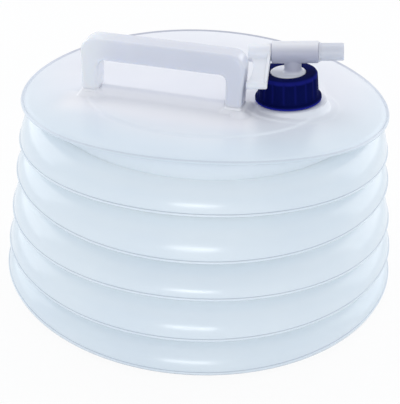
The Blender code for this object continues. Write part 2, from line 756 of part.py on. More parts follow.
def make_lever(group, helpers, surface, parent):
    """T shaped lever: hub on the spigot, waisted plate, rim and finger bar."""
    right = -BARREL_LEFT - CLEARANCE
    left = right - LEVER_HUB_LENGTH
    grip_right = right - LEVER_GRIP_SHIFT
    grip_left = grip_right - LEVER_GRIP_LENGTH
    waist_height = -LEVER_LENGTH * LEVER_WAIST_SHARE
    waist_right = right - LEVER_GRIP_SHIFT * LEVER_WAIST_SHARE
    outline = [(left + LEVER_ROUND, 0), (right - LEVER_ROUND, 0), (grip_right - LEVER_ROUND, -LEVER_LENGTH),
               (grip_left + LEVER_ROUND, -LEVER_LENGTH), (waist_right - LEVER_WAIST_WIDTH, waist_height)]
    plate = add_object("lever_plate", extruded("lever_plate", outline, LEVER_PLATE, helpers), helpers,
                       parent=parent)
    rim_outline = [(right - LEVER_RIM_WIDTH, 0), (right, 0), (grip_right, -LEVER_LENGTH),
                   (grip_right - LEVER_RIM_WIDTH, -LEVER_LENGTH)]
    rim = add_object("lever_rim", extruded("lever_rim", rim_outline, LEVER_RIM_HEIGHT, helpers), helpers,
                     parent=parent)
    rim.location = (-MERGE, (LEVER_PLATE - LEVER_RIM_HEIGHT) / 2, 0)
    hub = rod("tap_lever", LEVER_HUB_RADIUS, left, right, SMALL_STEPS, group, surface, parent)
    grip = rod("lever_grip", LEVER_GRIP_RADIUS, grip_left, grip_right, SMALL_STEPS // 2, helpers,
               parent=parent)
    grip.location = (0, 0, -LEVER_LENGTH)
    socket = rod("lever_socket", SPIGOT_RADIUS + CLEARANCE / math.cos(math.pi / SPIGOT_FLATS),
                 right - SPIGOT_LENGTH - CLEARANCE, right + OVERRUN, SPIGOT_FLATS, helpers, parent=parent)
    for helper in (plate, rim, grip, socket):
        as_cutter(helper)
    for helper in (plate, rim, grip):
        combine(hub, helper, 'UNION')
    combine(hub, socket, 'DIFFERENCE')
    return hub


def build():
    """Make every piece in its place."""
    clear_scene()
    group = make_collection("water_carrier")
    helpers = make_collection("cutters")
    milky = make_material("milky_ldpe", (0.80, 0.86, 0.90), 0.30, alpha=0.6, transmission=0.5)
    white = make_material("white_polyethylene", (0.86, 0.87, 0.89), 0.35)
    blue = make_material("blue_polypropylene", (0.012, 0.020, 0.230), 0.25)
    rubber = make_material("seal_rubber", (0.70, 0.71, 0.72), 0.60)

    make_base(group, milky)
    carrier = None
    for ring in range(RING_COUNT - 1, 1, -1):
        axis = add_axis("slide_of_fold_%d" % ring, (0, 0, ring_height(ring)))
        keep_place(axis, carrier)
        make_fold(ring, group, milky, axis)
        carrier = axis

    handle_frame = add_axis("handle_frame", handle_place(0, 0, 0), (0, HANDLE_TILT, HANDLE_YAW))
    neck_axis = add_axis("neck_axis", neck_root(), (0, -NECK_LEAN, 0))
    top_shell = make_top(group, helpers, milky, handle_frame, neck_axis)
    for item in (handle_frame, neck_axis, top_shell):
        keep_place(item, carrier)
    make_handle(group, helpers, white, handle_frame)

    make_gasket(group, rubber, neck_axis, neck_rim() + CLEARANCE)
    collar_axis = add_axis("collar_axis", (0, 0, collar_foot()), parent=neck_axis)
    make_collar(group, blue, collar_axis)

    tap_axis = add_axis("tap_axis", (0, 0, flange_foot()), (0, 0, TAP_YAW), neck_axis)
    axis_height = collar_foot() + COLLAR_HEIGHT + BARREL_AXIS_RISE - flange_foot()
    make_tap_body(group, helpers, white, tap_axis, axis_height)

    rotor_axis = add_axis("rotor_axis", (STEM_OFFSET, 0, axis_height), parent=tap_axis)
    make_rotor(group, helpers, white, rotor_axis)
    for name, place in zip(("lever_end_seal", "nozzle_end_seal"), seal_places()):
        make_seal(name, place, group, rubber, rotor_axis)
    lever_axis = add_axis("lever_axis", (0, 0, 0), (-LEVER_DROP_ANGLE, 0, 0), rotor_axis)
    make_lever(group, helpers, white, lever_axis)
    bpy.context.view_layer.update()


build()
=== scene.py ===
"""Looks of the collapsible water carrier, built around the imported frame, in metres."""

import functools
import json
import math

import bpy
import bmesh
import numpy as np
from mathutils import Matrix, Vector


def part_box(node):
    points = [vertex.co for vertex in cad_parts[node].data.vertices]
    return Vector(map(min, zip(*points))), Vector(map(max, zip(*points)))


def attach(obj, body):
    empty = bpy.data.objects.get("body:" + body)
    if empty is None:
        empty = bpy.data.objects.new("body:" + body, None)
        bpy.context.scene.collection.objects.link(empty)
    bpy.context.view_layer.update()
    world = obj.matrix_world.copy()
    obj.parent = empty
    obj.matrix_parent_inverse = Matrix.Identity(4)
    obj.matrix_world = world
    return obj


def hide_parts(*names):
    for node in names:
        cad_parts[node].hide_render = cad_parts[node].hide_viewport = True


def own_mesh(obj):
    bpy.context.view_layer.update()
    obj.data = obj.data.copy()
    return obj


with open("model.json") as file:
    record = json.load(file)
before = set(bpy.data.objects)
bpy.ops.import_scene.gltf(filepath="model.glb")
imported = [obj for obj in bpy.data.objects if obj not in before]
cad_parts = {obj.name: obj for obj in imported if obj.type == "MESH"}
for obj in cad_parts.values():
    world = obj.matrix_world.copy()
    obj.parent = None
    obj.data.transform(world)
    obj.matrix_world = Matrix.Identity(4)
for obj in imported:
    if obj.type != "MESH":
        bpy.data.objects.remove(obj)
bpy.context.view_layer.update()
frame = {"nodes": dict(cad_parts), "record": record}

# Camera, fitted to the six ridge rings in the photograph's frame
PHOTO_WIDTH_PX = 400
FOCAL_PX = 1195
SENSOR_WIDTH = 36
CAMERA_PLACE = (0, -0.8258, 0.5099)
CAMERA_PITCH = math.radians(28.63)
CAMERA_YAW = math.radians(0.06)
CAMERA_ROLL = math.radians(2.44)

# Bottle wall, folds and the beads on the ridge rings
RING_COUNT = 6
WALL = 0.0013
BOTTLE_STEPS = 240
FOLD_DEPTH = 0.0170
UNDERCUT_DROP = 0.0080
BULGE_SWEEP = math.radians(78)
BULGE_POINTS = 13
FLANK_POINTS = 5
FLANK_START = 1.4
FLANK_POWER = 1.2
BEAD_RADIUS = 0.0010
BEAD_STAND = 0.0009
BEAD_ANGLES = (58, 30, 0, -30, -58, -80)
BEAD_GROOVE = 0.0003
BEAD_GROOVE_RISE = 0.9

# Slack bottle: how far each ring stands above its place, at the front, at the back and at
# the sides, with its tilt to the right; how much wider each ring is; how much of the lift
# of the ring above a crease takes; and how far the crease under ring 1 opens at the front
RING_LIFTS = (
    (0.0107, -0.0019, -0.0044, -0.0007),
    (0.0025, 0.0000, -0.0043, 0.0003),
    (-0.0026, 0.0017, 0.0014, 0.0008),
    (0.0000, 0.0045, -0.0011, 0.0002),
    (-0.0017, -0.0026, 0.0023, 0.0018),
    (-0.0060, 0.0004, 0.0030, 0.0010))
RING_SWELLS = (0.0, -0.0006, -0.0006, 0.0006, 0.0010, 0.0)
CREASE_FOLLOWS = 0.75
FRONT_OPENING = 0.0050
FRONT_POWER = 4

# Base: lowest ring, foot ring, pushed up middle and its ribs
BASE_RING_HEIGHT = 0.0110
FOOT_RADIUS = 0.1350
FOOT_ROUND = 0.0040
FOOT_POINTS = 9
PUSH_UP_RADIUS = 0.0990
PUSH_UP_HEIGHT = 0.0045
PUSH_UP_POINTS = 7
BASE_RIBS = (0.078, 0.052, 0.026)
BASE_RIB_SHAPE = ((0.0012, 0), (0.0004, 0.0006), (-0.0004, 0.0006), (-0.0012, 0))

# Painted light and shade on the bottle's meshes: painted light in the creases, painted shade
# along the ridges and rim, and painted light on the wall in front of the handle's rib
CREASE_LIGHT_REACH = 0.6
CREASE_LIGHT_START = 0.3
BEAD_SHADE = (0.50, 0.25, 0.0, 0.0, 0.0, 0.35, 0.50)
RIM_SHADE = (0.7, 1.0, 1.0)
RIM_FRONT_SHADE = 0.35
RIM_BACK_SHADE = (0.3, 0.85)
RIM_FLANK_LIGHT = 0.55
RIB_LIGHT_NEAR = (0.0010, 0.0045)
RIB_LIGHT_FAR = (0.0200, 0.0480)
RIB_LIGHT_SIDE = (0.0600, 0.0780)

# Top disc with its step, and the shoulder round the neck
DOME_STEPS = 320
DOME_PITCH = 0.0012
DOME_RISE = 0.0060
STEP_RADIUS = 0.0900
STEP_HEIGHT = 0.0048
STEP_DROP = 0.0009
STEP_RUN = 0.0030
RIM_FALL_POWER = 2.2
LIFT_POWER = 3.2
LIP_GROOVE = (-0.0006, 0.0007, 0.0005, 0.0002)
SHOULDER_TOP_RADIUS = 0.0275
SHOULDER_RUN = 0.0035
OUTER_STEP_RADIUS = 0.0385
OUTER_STEP_RUN = 0.0022
OUTER_STEP_RISE = 0.0006
COLLAR_FOOT_GAP = 0.0006
HOLE_REACH = 0.0200

# Handle, in its own frame
HANDLE_PLACE = (-0.0307, -0.0255)
HANDLE_YAW = math.radians(-13.5)
HANDLE_TILT = math.radians(-0.6)
LEG_SPACING = 0.1075
LEG_WIDTH = 0.0122
LEG_FLARE = 0.0010
HANDLE_DEPTH = 0.0180
HANDLE_TOP = 0.0490
HANDLE_CORNER = 0.0110
HANDLE_CORNER_POINTS = 18
HANDLE_ROUND = 0.0030
GRIP_HEIGHT = 0.0165
GRIP_CORNER = 0.0050
GRIP_CORNER_POINTS = 12
FOOT_GAP = 0.0003
LEG_LIGHT_START = -0.032
LEG_LIGHT_END = -0.056
LEG_LIGHT_CUTS = 9

# Rib and bosses under the handle, in its frame
BOSS_TOP = 0.0100
BOSS_ROOT = 0.0010
BOSS_MARGIN = 0.0005
BOSS_ROUND = 0.0026
RIB_TOP = 0.0108
RIB_REACH = 0.0100
RIB_HALF = 0.0500
RIB_FALL = 0.0040
SKIRT_RUN = 0.0040
NECK_SIDE_RUN = 0.0085
SKIRT_DROP = 0.0016
SADDLE_ROWS = 121
SADDLE_COLUMNS = 41
SADDLE_STAND = 0.0002
SADDLE_POWER = 4

# Neck and collar, in the neck's leaning frame
NECK_RADIUS = 0.0182
NECK_BORE = 0.0155
NECK_RIM = 0.0160
NECK_SINK = 0.0085
NECK_ROWS = 40
THREAD_START = 0.0015
THREAD_STAND = 0.0008
THREAD_PITCH = 0.0040
THREAD_CREST = 1.6
THREAD_SLOPE = 4
COLLAR_RADIUS = 0.0222
COLLAR_BORE = 0.0200
BORE_MARGIN = 0.0004
COLLAR_HOLE = 0.0132
HOLE_ROUND = 0.0006
COLLAR_TAPER = 0.0008
COLLAR_ROUND = 0.0022
COLLAR_CROWN = 0.0022
COLLAR_CORNER_POINTS = 6
FLANGE_HEIGHT = 0.0030
FLANGE_SLOPE = 0.0006
SKIRT_HEIGHT = 0.003
SKIRT_ROWS = 12
COLLAR_FLUTES = 16
FLUTE_STEPS = 12
FLUTE_DEPTH = 0.00060
FLUTE_SHARPNESS = 5
FLUTE_FOOT = 0.0010
FLUTE_END = 1.2

# Painted highlights on the collar: paler lines in its flutes, on its foot's lip and round its
# crown
FLUTE_GLINT_SHARPNESS = 24
FLUTE_GLINT_SHARE = 0.16
GLINT_TOP = 0.003
GLINT_END = 0.001
LIP_GLINT = (0.0004, 0.0012)
CROWN_GLINT = 0.0010
CROWN_GLINT_SHARE = 0.35

# Tap body, in the rotor's frame
TAP_FLANGE = 0.0022
TAP_FLANGE_RADIUS = 0.0180
TAP_DISC_TOP = 0.0047
TAP_DISC_RADIUS = 0.0129
STEM_OFFSET = 0.0035
STEM_RADIUS = 0.0062
STEM_BORE = 0.0038
STEM_FLARE = 0.0015
STEM_ROUND = 0.0012
BARREL_RADIUS = 0.0080
BARREL_BORE = 0.0064
BARREL_LEFT = 0.0150
BARREL_RIGHT = 0.0185
TAP_EASE = 3
TAP_TOP_LIGHT = (0.15, 1.0)

# Rotor with the nozzle, in its frame
NOZZLE_RADIUS = 0.0064
NOZZLE_WALL = 0.0018
NOZZLE_REACH = 0.0180
LIP_RUN = 0.0012
LIP_DROP = 0.0003
LIP_ROUND = 0.0004
ROTOR_RADIUS = 0.0061
ROTOR_GAP = 0.0001
ROTOR_STAND = 0.0010
ROTOR_SHOULDER = 0.0012
BLIND_DEPTH = 0.0080
BLIND_ROUND = 0.0010
SPIGOT_RADIUS = 0.0034
SPIGOT_LENGTH = 0.0120

# Lever, in the rotor's frame turned to where it hangs
LEVER_ANGLE = math.radians(58)
LEVER_LENGTH = 0.02854
LEVER_CURVE_STEPS = 8
LEVER_EASE = 12
HUB_RADIUS = 0.0066
HUB_LENGTH = 0.0168
BAR_LENGTH = 0.0150
BAR_SHIFT = 0.0024
BAR_RADIUS = 0.0030
BAR_ROUND = 0.0010
PLATE_THICK = 0.0030
WAIST_WIDTH = 0.0116
WAIST_SHARE = 0.50
PLATE_RIM_WIDTH = 0.0022
PLATE_RIM_HEIGHT = 0.0060

# Meshes in general: the least length of a step, the radius left open at an axis, the reach
# of cutters past what they cut, roundings, the steps around each turned form, the fillets of
# moulded forms, and the angles from which edges stay sharp
SHORTEST = 1e-9
POLE = 0.0001
POKE = 0.0020
END_ROUND = 0.0003
EDGE_ROUND = 0.0005
CORNER_POINTS = 4
BEVEL_SEGMENTS = 6
BEVEL_PROFILE = 0.5
BEVEL_ANGLE = math.radians(30)
TURN_STEPS = {
    "neck_thread": 96, "collar_skin": COLLAR_FLUTES * FLUTE_STEPS, "barrel": 72, "stem": 56,
    "flange": 80, "bore": 64, "way": 40, "rotor_skin": 72, "hub": 64, "bar": 40}
MELT_VOXEL = 0.00035
EASE_FACTOR = 0.5
SKIN_ANGLE = math.radians(40)
TURNED_ANGLE = math.radians(50)
MOULDED_ANGLE = math.radians(60)

# Plastics in general: each pattern's scale and detail, and where its values are cut off
PLASTIC_IOR = 1.50
CLOUDS = (14, 3.0)
CLOUD_ENDS = (0.35, 0.65)
PATCHES = (45, 3.0)
PATCH_ENDS = (0.3, 0.7)
WAVES = (30, 1.0)
GRAIN = (1400, 2.0)
ROUGHNESS_SPREAD = 0.07
SCATTER_DEPTH = 1.0
SCATTER_RADIUS = (0.0030, 0.0034, 0.0040)
DISC_BACK = 0.050
DISC_FADE = (0.095, 0.170)

# Each plastic; tints paint light and shade where a mesh is marked with their names, and the
# disc has other colours near its middle, a dark and a light one
# Painted light in the creases and painted shade along the beads and the rim
FOLD_LIGHT_AND_SHADE = (("crease", (0.92, 0.965, 0.99)), ("edge", (0.56, 0.58, 0.67)))
PLASTICS = {
    "milky_wall": {
        "light": (0.838, 0.922, 0.985), "dark": (0.806, 0.897, 0.972), "roughness": 0.17,
        "waviness": 0.00020, "tints": FOLD_LIGHT_AND_SHADE},
    "milky_disc": {
        "light": (0.770, 0.855, 0.930), "dark": (0.740, 0.832, 0.915), "roughness": 0.28,
        # Painted light in front of the handle's rib and bosses, against their shadow
        "waviness": 0.00020, "tints": FOLD_LIGHT_AND_SHADE + (("rib_light", (0.950, 0.955, 0.995)),),
        "inside": ((0.825, 0.840, 0.905), (0.855, 0.865, 0.920))},
    "white_moulding": {
        "light": (0.76, 0.78, 0.86), "dark": (0.72, 0.74, 0.82), "roughness": 0.17,
        # Painted light, paler towards the handle's left end
        "waviness": 0.00008, "scatter": 0.5, "tints": (("painted_light", (0.86, 0.885, 0.93)),)},
    "lever_moulding": {
        "light": (0.86, 0.88, 0.93), "dark": (0.82, 0.84, 0.90), "roughness": 0.30,
        "waviness": 0.00006, "scatter": 0.4},
    "blue_moulding": {
        "light": (0.004, 0.007, 0.076), "dark": (0.002, 0.003, 0.045), "roughness": 0.34,
        # Painted highlights: paler blue lines in the flutes, on the foot's lip and round the
        # crown
        "waviness": 0.00006, "gloss": 0.003, "tints": (("edge", (0.022, 0.027, 0.360)),)},
    "tap_moulding": {
        "light": (0.49, 0.50, 0.61), "dark": (0.45, 0.46, 0.57), "roughness": 0.38,
        "waviness": 0.00004, "scatter": 0.2, "gloss": 0.6,
        # Painted light on what faces up
        "tints": (("painted_light", (0.80, 0.81, 0.87)),)},
    "nozzle_moulding": {
        "light": (0.69, 0.71, 0.78), "dark": (0.65, 0.67, 0.75), "roughness": 0.30,
        "waviness": 0.00004, "scatter": 0.3, "gloss": 0.4},
    "seal_moulding": {
        "light": (0.72, 0.73, 0.75), "dark": (0.64, 0.65, 0.67), "roughness": 0.60,
        "waviness": 0.00005, "grain": 0.00003}}

# Studio; each lamp has a name, azimuth, elevation, distance, size, power and tint
WHITE = (1.0, 1.0, 1.0)
SKY_TINT = (0.93, 0.96, 1.0)
SKY_LEVEL = 0.64
FLOOR_COLOUR = (0.90, 0.91, 0.93)
FLOOR_ROUGHNESS = 0.9
FLOOR_GLOSS = 0.0
FLOOR_GLOW = 0.93
FLOOR_HALF = 4.0
FLOOR_DROP = -0.0004
LIGHT_TARGET = (0, 0, 0.09)
LAMPS = (
    ("front_box", -3, 8, 1.6, (0.70, 0.22), 4.0, (1.0, 1.0, 1.0)),
    ("left_box", -122, 19, 1.4, (1.3, 0.9), 4.8, (0.97, 0.99, 1.0)),
    ("right_box", 122, 19, 1.4, (1.3, 0.9), 4.8, (0.97, 0.99, 1.0)),
    ("top_box", 170, 72, 1.3, (0.9, 0.7), 3.6, (1.0, 0.99, 1.0)))


def places(data):
    """The places of a mesh's corners."""
    points = np.empty(len(data.vertices) * 3)
    data.vertices.foreach_get("co", points)
    return points.reshape(-1, 3)


@functools.cache
def node_box(name):
    """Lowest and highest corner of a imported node."""
    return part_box(name)


def joint(name):
    """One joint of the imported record."""
    for item in frame["record"]["behaviour"]["joints"]:
        if item["name"] == name:
            return item
    raise ValueError("no joint " + name)


def axes_frame(origin, up, along):
    """A frame with Z up one direction and X as near as it gets to another."""
    z = Vector(up).normalized()
    x = (Vector(along) - Vector(along).dot(z) * z).normalized()
    turn = Matrix((x, z.cross(x), z)).transposed().to_4x4()
    return Matrix.Translation(Vector(origin)) @ turn


def local_extent(name, place):
    """Lowest and highest corner of a node in a frame of its own."""
    back = np.array(place.inverted())
    points = places(frame["nodes"][name].data) @ back[:3, :3].T + back[:3, 3]
    return points.min(axis=0), points.max(axis=0)


def bottle_node(ring):
    """The node that carries a ring, counted from the top."""
    names = {1: "top_shell", RING_COUNT: "base_pan"}
    return names.get(ring, "fold_%d" % ring)


def ring_radius(ring):
    """Radius of a ring's crest."""
    return node_box(bottle_node(ring))[1][0] + RING_SWELLS[ring - 1]


def crease_height(ring):
    """Height of the crease below a ring."""
    return node_box(bottle_node(ring + 1))[1][2]


def ring_height(ring):
    """Height of a ring's crest."""
    if ring == RING_COUNT:
        return BASE_RING_HEIGHT
    return crease_height(ring) + UNDERCUT_DROP


def ring_lift(ring, azimuth):
    """How far a ring stands above its place, around the bottle."""
    front, back, side, tilt = RING_LIFTS[ring - 1]
    toward = -np.sin(azimuth)
    middle = (front + back) / 2
    twice = (middle - side) / 2
    level = (middle + side) / 2 + (front - back) / 2 * toward
    return level + twice * (2 * toward ** 2 - 1) + tilt * np.cos(azimuth)


def crease_lift(ring, azimuth):
    """How far the crease below a ring stands above its place; the end ones stay level."""
    if ring in (1, RING_COUNT - 1):
        return 0 * azimuth
    above, below = ring_lift(ring, azimuth), ring_lift(ring + 1, azimuth)
    return CREASE_FOLLOWS * above + (1 - CREASE_FOLLOWS) * below


def crease_radius(ring, azimuth):
    """Radius of the crease below a ring; it opens at the front under ring 1."""
    radius = ring_radius(ring) - BEAD_STAND - FOLD_DEPTH
    if ring == 1:
        radius = radius + FRONT_OPENING * np.clip(-np.sin(azimuth), 0, 1) ** FRONT_POWER
    return radius


def around(steps):
    """Azimuths around an axis, without a repeated end."""
    return np.arange(steps) * 2 * math.pi / steps


def arc_shares():
    """Shares of a bulge's run and drop, along an arc that starts flat and ends steep."""
    steps = np.arange(BULGE_POINTS)
    turned = (math.pi / 2 - BULGE_SWEEP) / 2 + BULGE_SWEEP * steps / (BULGE_POINTS - 1)
    run = np.sin(turned)
    drop = 1 - np.cos(turned)
    return (run - run[0]) / (run[-1] - run[0]), (drop - drop[0]) / (drop[-1] - drop[0])


def bulge_rows(ring, azimuth):
    """Rows of points from the crease above a ring down to the ring."""
    above = ring - 1
    inner = crease_radius(above, azimuth)
    outer = ring_radius(ring) - BEAD_STAND
    top = crease_height(above) + crease_lift(above, azimuth)
    low = ring_height(ring) + BEAD_RADIUS + ring_lift(ring, azimuth)
    return [(inner + (outer - inner) * run, top + (low - top) * drop)
            for run, drop in zip(*arc_shares())]


def bead_rows(ring, azimuth):
    """Rows around the raised bead of a ring, with a fine groove above it."""
    base = ring_radius(ring) - BEAD_STAND
    level = ring_height(ring) + ring_lift(ring, azimuth)
    rows = [(base - BEAD_GROOVE, level + BEAD_RADIUS * BEAD_GROOVE_RISE)]
    for angle in np.radians(BEAD_ANGLES):
        height = level + BEAD_RADIUS * math.sin(angle)
        rows.append((base + BEAD_STAND * math.cos(angle), height))
    return rows


def flank_rows(ring, azimuth):
    """Rows along the short flank from a ring in to the crease below it."""
    outer = ring_radius(ring) - BEAD_STAND - BEAD_RADIUS
    inner = crease_radius(ring, azimuth)
    level = ring_height(ring) + ring_lift(ring, azimuth) - BEAD_RADIUS * FLANK_START
    crease = crease_height(ring) + crease_lift(ring, azimuth)
    rows = []
    for share in np.linspace(0, 1, FLANK_POINTS):
        height = level + (crease - level) * share ** FLANK_POWER
        rows.append((outer + (inner - outer) * share, height))
    return rows


def bulge_light():
    """Crease and edge shares of a bulge's rows: painted light next to the crease above."""
    reach = BULGE_POINTS * CREASE_LIGHT_REACH
    return [(max(0.0, 1 - i / reach), 0.0) for i in range(BULGE_POINTS)]


def bead_shade():
    """Crease and edge shares of a bead's rows: painted shade, darker along the bead."""
    return [(0.0, share) for share in BEAD_SHADE]


def flank_light():
    """Crease and edge shares of a flank's rows: painted light, stronger towards the crease below.
    """
    last = FLANK_POINTS - 1
    return [(CREASE_LIGHT_START + (1 - CREASE_LIGHT_START) * i / last, 0.0) for i in range(FLANK_POINTS)]


def mark(data, name, shares):
    """Keep a share for each corner of a mesh, for the materials to read."""
    data.attributes.new(name, 'FLOAT', 'POINT').data.foreach_set("value", shares)


def mark_light_and_shade(data, light_and_shade, azimuth):
    """Mark each row's shares of painted light (crease) and painted shade (edge), on the wall's
    outer and inner side.
    """
    both = light_and_shade + light_and_shade[::-1]
    for k, name in enumerate(("crease", "edge")):
        mark(data, name, np.concatenate([row[k] + 0 * azimuth for row in both]))


def mark_rib_light(data):
    """Mark painted light on what lies in front of the handle's rib and bosses, against their
    shadow.
    """
    hx, hy, _ = to_local(handle_frame(), *places(data).T)
    share = soft_step(*RIB_LIGHT_NEAR, -hy) * (1 - soft_step(*RIB_LIGHT_FAR, -hy))
    mark(data, "rib_light", share * (1 - soft_step(*RIB_LIGHT_SIDE, np.abs(hx))))


def mark_top_light(data):
    """Mark painted light on what faces up, lighter as light falls from above."""
    up = np.empty(len(data.vertices) * 3, dtype=np.float32)
    data.vertex_normals.foreach_get("vector", up)
    mark(data, "painted_light", soft_step(*TAP_TOP_LIGHT, up.reshape(-1, 3)[:, 2]))


def to_grid(rows, azimuth):
    """Points of a turned form, one row of radius and height after another."""
    grid = np.empty((len(rows), len(azimuth), 3))
    for i, (radius, height) in enumerate(rows):
        grid[i, :, 0] = radius * np.cos(azimuth)
        grid[i, :, 1] = radius * np.sin(azimuth)
        grid[i, :, 2] = height
    return grid


def inner_rows(rows):
    """The inner side of a wall, its thickness further in."""
    radii = np.array([row[0] for row in rows])
    heights = np.array([row[1] for row in rows])
    run = np.gradient(radii, axis=0)
    drop = np.gradient(heights, axis=0)
    size = np.maximum(np.hypot(run, drop), SHORTEST)
    return list(zip(radii + WALL * drop / size, heights - WALL * run / size))


def mesh_of(name, points, faces):
    """A mesh from its corners and faces."""
    data = bpy.data.meshes.new(name)
    data.from_pydata(points.reshape(-1, 3).tolist(), [], faces)
    data.validate()
    data.update()
    return data


def skin_mesh(name, grid):
    """A mesh from a grid that wraps around in rows and in columns."""
    rows, columns = grid.shape[:2]
    index = np.arange(rows * columns).reshape(rows, columns)
    index = np.vstack([index, index[:1]])
    right = np.roll(index, -1, axis=1)
    corners = (index[:-1], index[1:], right[1:], right[:-1])
    return mesh_of(name, grid, np.stack(corners, axis=-1).reshape(-1, 4).tolist())


def wall_mesh(name, rows, azimuth):
    """A thin wall around the bottle, from the rows of its outer side."""
    outer = [(radius + 0 * azimuth, height + 0 * azimuth) for radius, height in rows]
    return skin_mesh(name, to_grid(outer + inner_rows(outer)[::-1], azimuth))


def slab_mesh(name, top, drop):
    """A closed thin slab: a grid of places and the same grid lower down."""
    rows, columns = top.shape[:2]
    count = rows * columns
    index = np.arange(count).reshape(rows, columns)
    corners = (index[:-1, :-1], index[1:, :-1], index[1:, 1:], index[:-1, 1:])
    faces = np.stack(corners, axis=-1).reshape(-1, 4).tolist()
    faces += [[corner + count for corner in face[::-1]] for face in faces]
    for edge in (index[0], index[-1][::-1], index[:, 0][::-1], index[:, -1]):
        for a, b in zip(edge[:-1].tolist(), edge[1:].tolist()):
            faces.append((a, b, b + count, a + count))
    under = top.copy()
    under[..., 2] -= drop
    return mesh_of(name, np.stack([top, under]), faces)


def linked(name, data):
    """A new object in the scene."""
    holder = bpy.data.objects.new(name, data)
    bpy.context.scene.collection.objects.link(holder)
    return holder


def add_piece(name, data, material, body, replaced, smooth_angle=SKIN_ANGLE):
    """Show a mesh as a piece that rides on a body."""
    piece = linked(name, data)
    data.materials.append(material)
    data.shade_smooth()
    data.set_sharp_from_angle(angle=smooth_angle)
    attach(piece, body)
    if replaced:
        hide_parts(*replaced)
    return piece


def soft_step(low, high, value):
    """Smooth rise from 0 to 1 between two values."""
    share = np.clip((value - low) / (high - low), 0, 1)
    return share * share * (3 - 2 * share)


@functools.cache
def handle_frame():
    """The handle's frame: its middle on ring 1, turned and tilted."""
    place = Vector((HANDLE_PLACE[0], HANDLE_PLACE[1], ring_height(1)))
    turn = Matrix.Rotation(HANDLE_YAW, 4, 'Z') @ Matrix.Rotation(HANDLE_TILT, 4, 'Y')
    return Matrix.Translation(place) @ turn


@functools.cache
def neck_frame():
    """The leaning neck's frame, at the collar's foot."""
    turn = joint("collar_turn")
    up = Vector(turn["axis"])
    place = axes_frame(turn["pos_m"], up, (1, 0, 0))
    low = local_extent("screw_collar", place)[0]
    return Matrix.Translation(up * float(low[2])) @ place


@functools.cache
def rotor_frame():
    """The tap's turning frame: X along the nozzle, Z up the neck's axis."""
    turn = joint("lever_turn")
    return axes_frame(turn["pos_m"], joint("collar_turn")["axis"], -Vector(turn["axis"]))


def to_local(place, x, y, z):
    """World places seen from a frame of its own."""
    back = np.array(place.inverted())
    return (back[i, 0] * x + back[i, 1] * y + back[i, 2] * z + back[i, 3] for i in range(3))


def dome_surface(radius):
    """Height of the plain top disc over ring 1."""
    share = np.clip(radius / STEP_RADIUS, 0, 1)
    inside = DOME_RISE - (DOME_RISE - STEP_HEIGHT) * share ** 2
    rim = ring_radius(1) - BEAD_STAND
    run = np.clip((radius - STEP_RADIUS) / (rim - STEP_RADIUS), 0, 1)
    outside = (STEP_HEIGHT - STEP_DROP) * (1 - run ** RIM_FALL_POWER) + BEAD_RADIUS * run
    step = soft_step(STEP_RADIUS - STEP_RUN / 2, STEP_RADIUS + STEP_RUN / 2, radius)
    return inside * (1 - step) + outside * step


def disc_height(x, y):
    """Height of the top disc with its shoulder, rib and boss skirts."""
    level = ring_height(1)
    height = level + dome_surface(np.hypot(x, y))
    neck = neck_frame()
    nx, ny, _ = to_local(neck, x, y, height)
    off = np.hypot(nx, ny)
    slope = neck.to_3x3().col[2]
    foot = neck.translation - slope * COLLAR_FOOT_GAP
    plane = foot.z - (slope.x * (x - foot.x) + slope.y * (y - foot.y)) / slope.z
    outer = 1 - soft_step(OUTER_STEP_RADIUS - OUTER_STEP_RUN, OUTER_STEP_RADIUS, off)
    height = height + OUTER_STEP_RISE * outer
    inner = 1 - soft_step(SHOULDER_TOP_RADIUS, SHOULDER_TOP_RADIUS + SHOULDER_RUN, off)
    height = height + (plane - height) * inner
    hx, hy, _ = to_local(handle_frame(), x, y, level)
    across = np.clip(np.abs(hy) / RIB_REACH, 0, 1)
    along = 1 - soft_step(RIB_HALF - RIB_FALL, RIB_HALF, np.abs(hx))
    rise = np.clip(level + RIB_TOP - height, 0, None)
    height = height + rise * (1 - across ** 2) ** 2 * along
    for side in (-1, 1):
        dx = np.clip(np.abs(hx - side * LEG_SPACING / 2) - LEG_WIDTH / 2, 0, None)
        dy = np.clip(np.abs(hy) - HANDLE_DEPTH / 2, 0, None)
        run = np.where(hx > LEG_SPACING / 2, NECK_SIDE_RUN, SKIRT_RUN)
        skirt = 1 - soft_step(0, 1, np.hypot(dx, dy) / run)
        height = height + np.clip(level + BOSS_TOP - SKIRT_DROP - height, 0, None) * skirt
    return height


def disc_rows(azimuth):
    """Rows of the top disc, from its middle out to ring 1."""
    rim = ring_radius(1) - BEAD_STAND
    count = int(round(rim / DOME_PITCH))
    lift = ring_lift(1, azimuth)
    rows = []
    for i in range(count + 1):
        radius = max(rim * i / count, POLE) + 0 * azimuth
        height = disc_height(radius * np.cos(azimuth), radius * np.sin(azimuth))
        height = height + lift * (radius / rim) ** LIFT_POWER
        if count - i < len(LIP_GROOVE):
            height = height - LIP_GROOVE[count - i]
        rows.append((radius, height))
    return rows


def cut_hole(data):
    """Open the neck's bore through the disc."""
    back = neck_frame().inverted()
    form = bmesh.new()
    form.from_mesh(data)
    doomed = []
    for face in form.faces:
        middle = back @ face.calc_center_median()
        if math.hypot(middle.x, middle.y) < NECK_BORE and abs(middle.z) < HOLE_REACH:
            doomed.append(face)
    bmesh.ops.delete(form, geom=doomed, context='FACES')
    form.to_mesh(data)
    form.free()


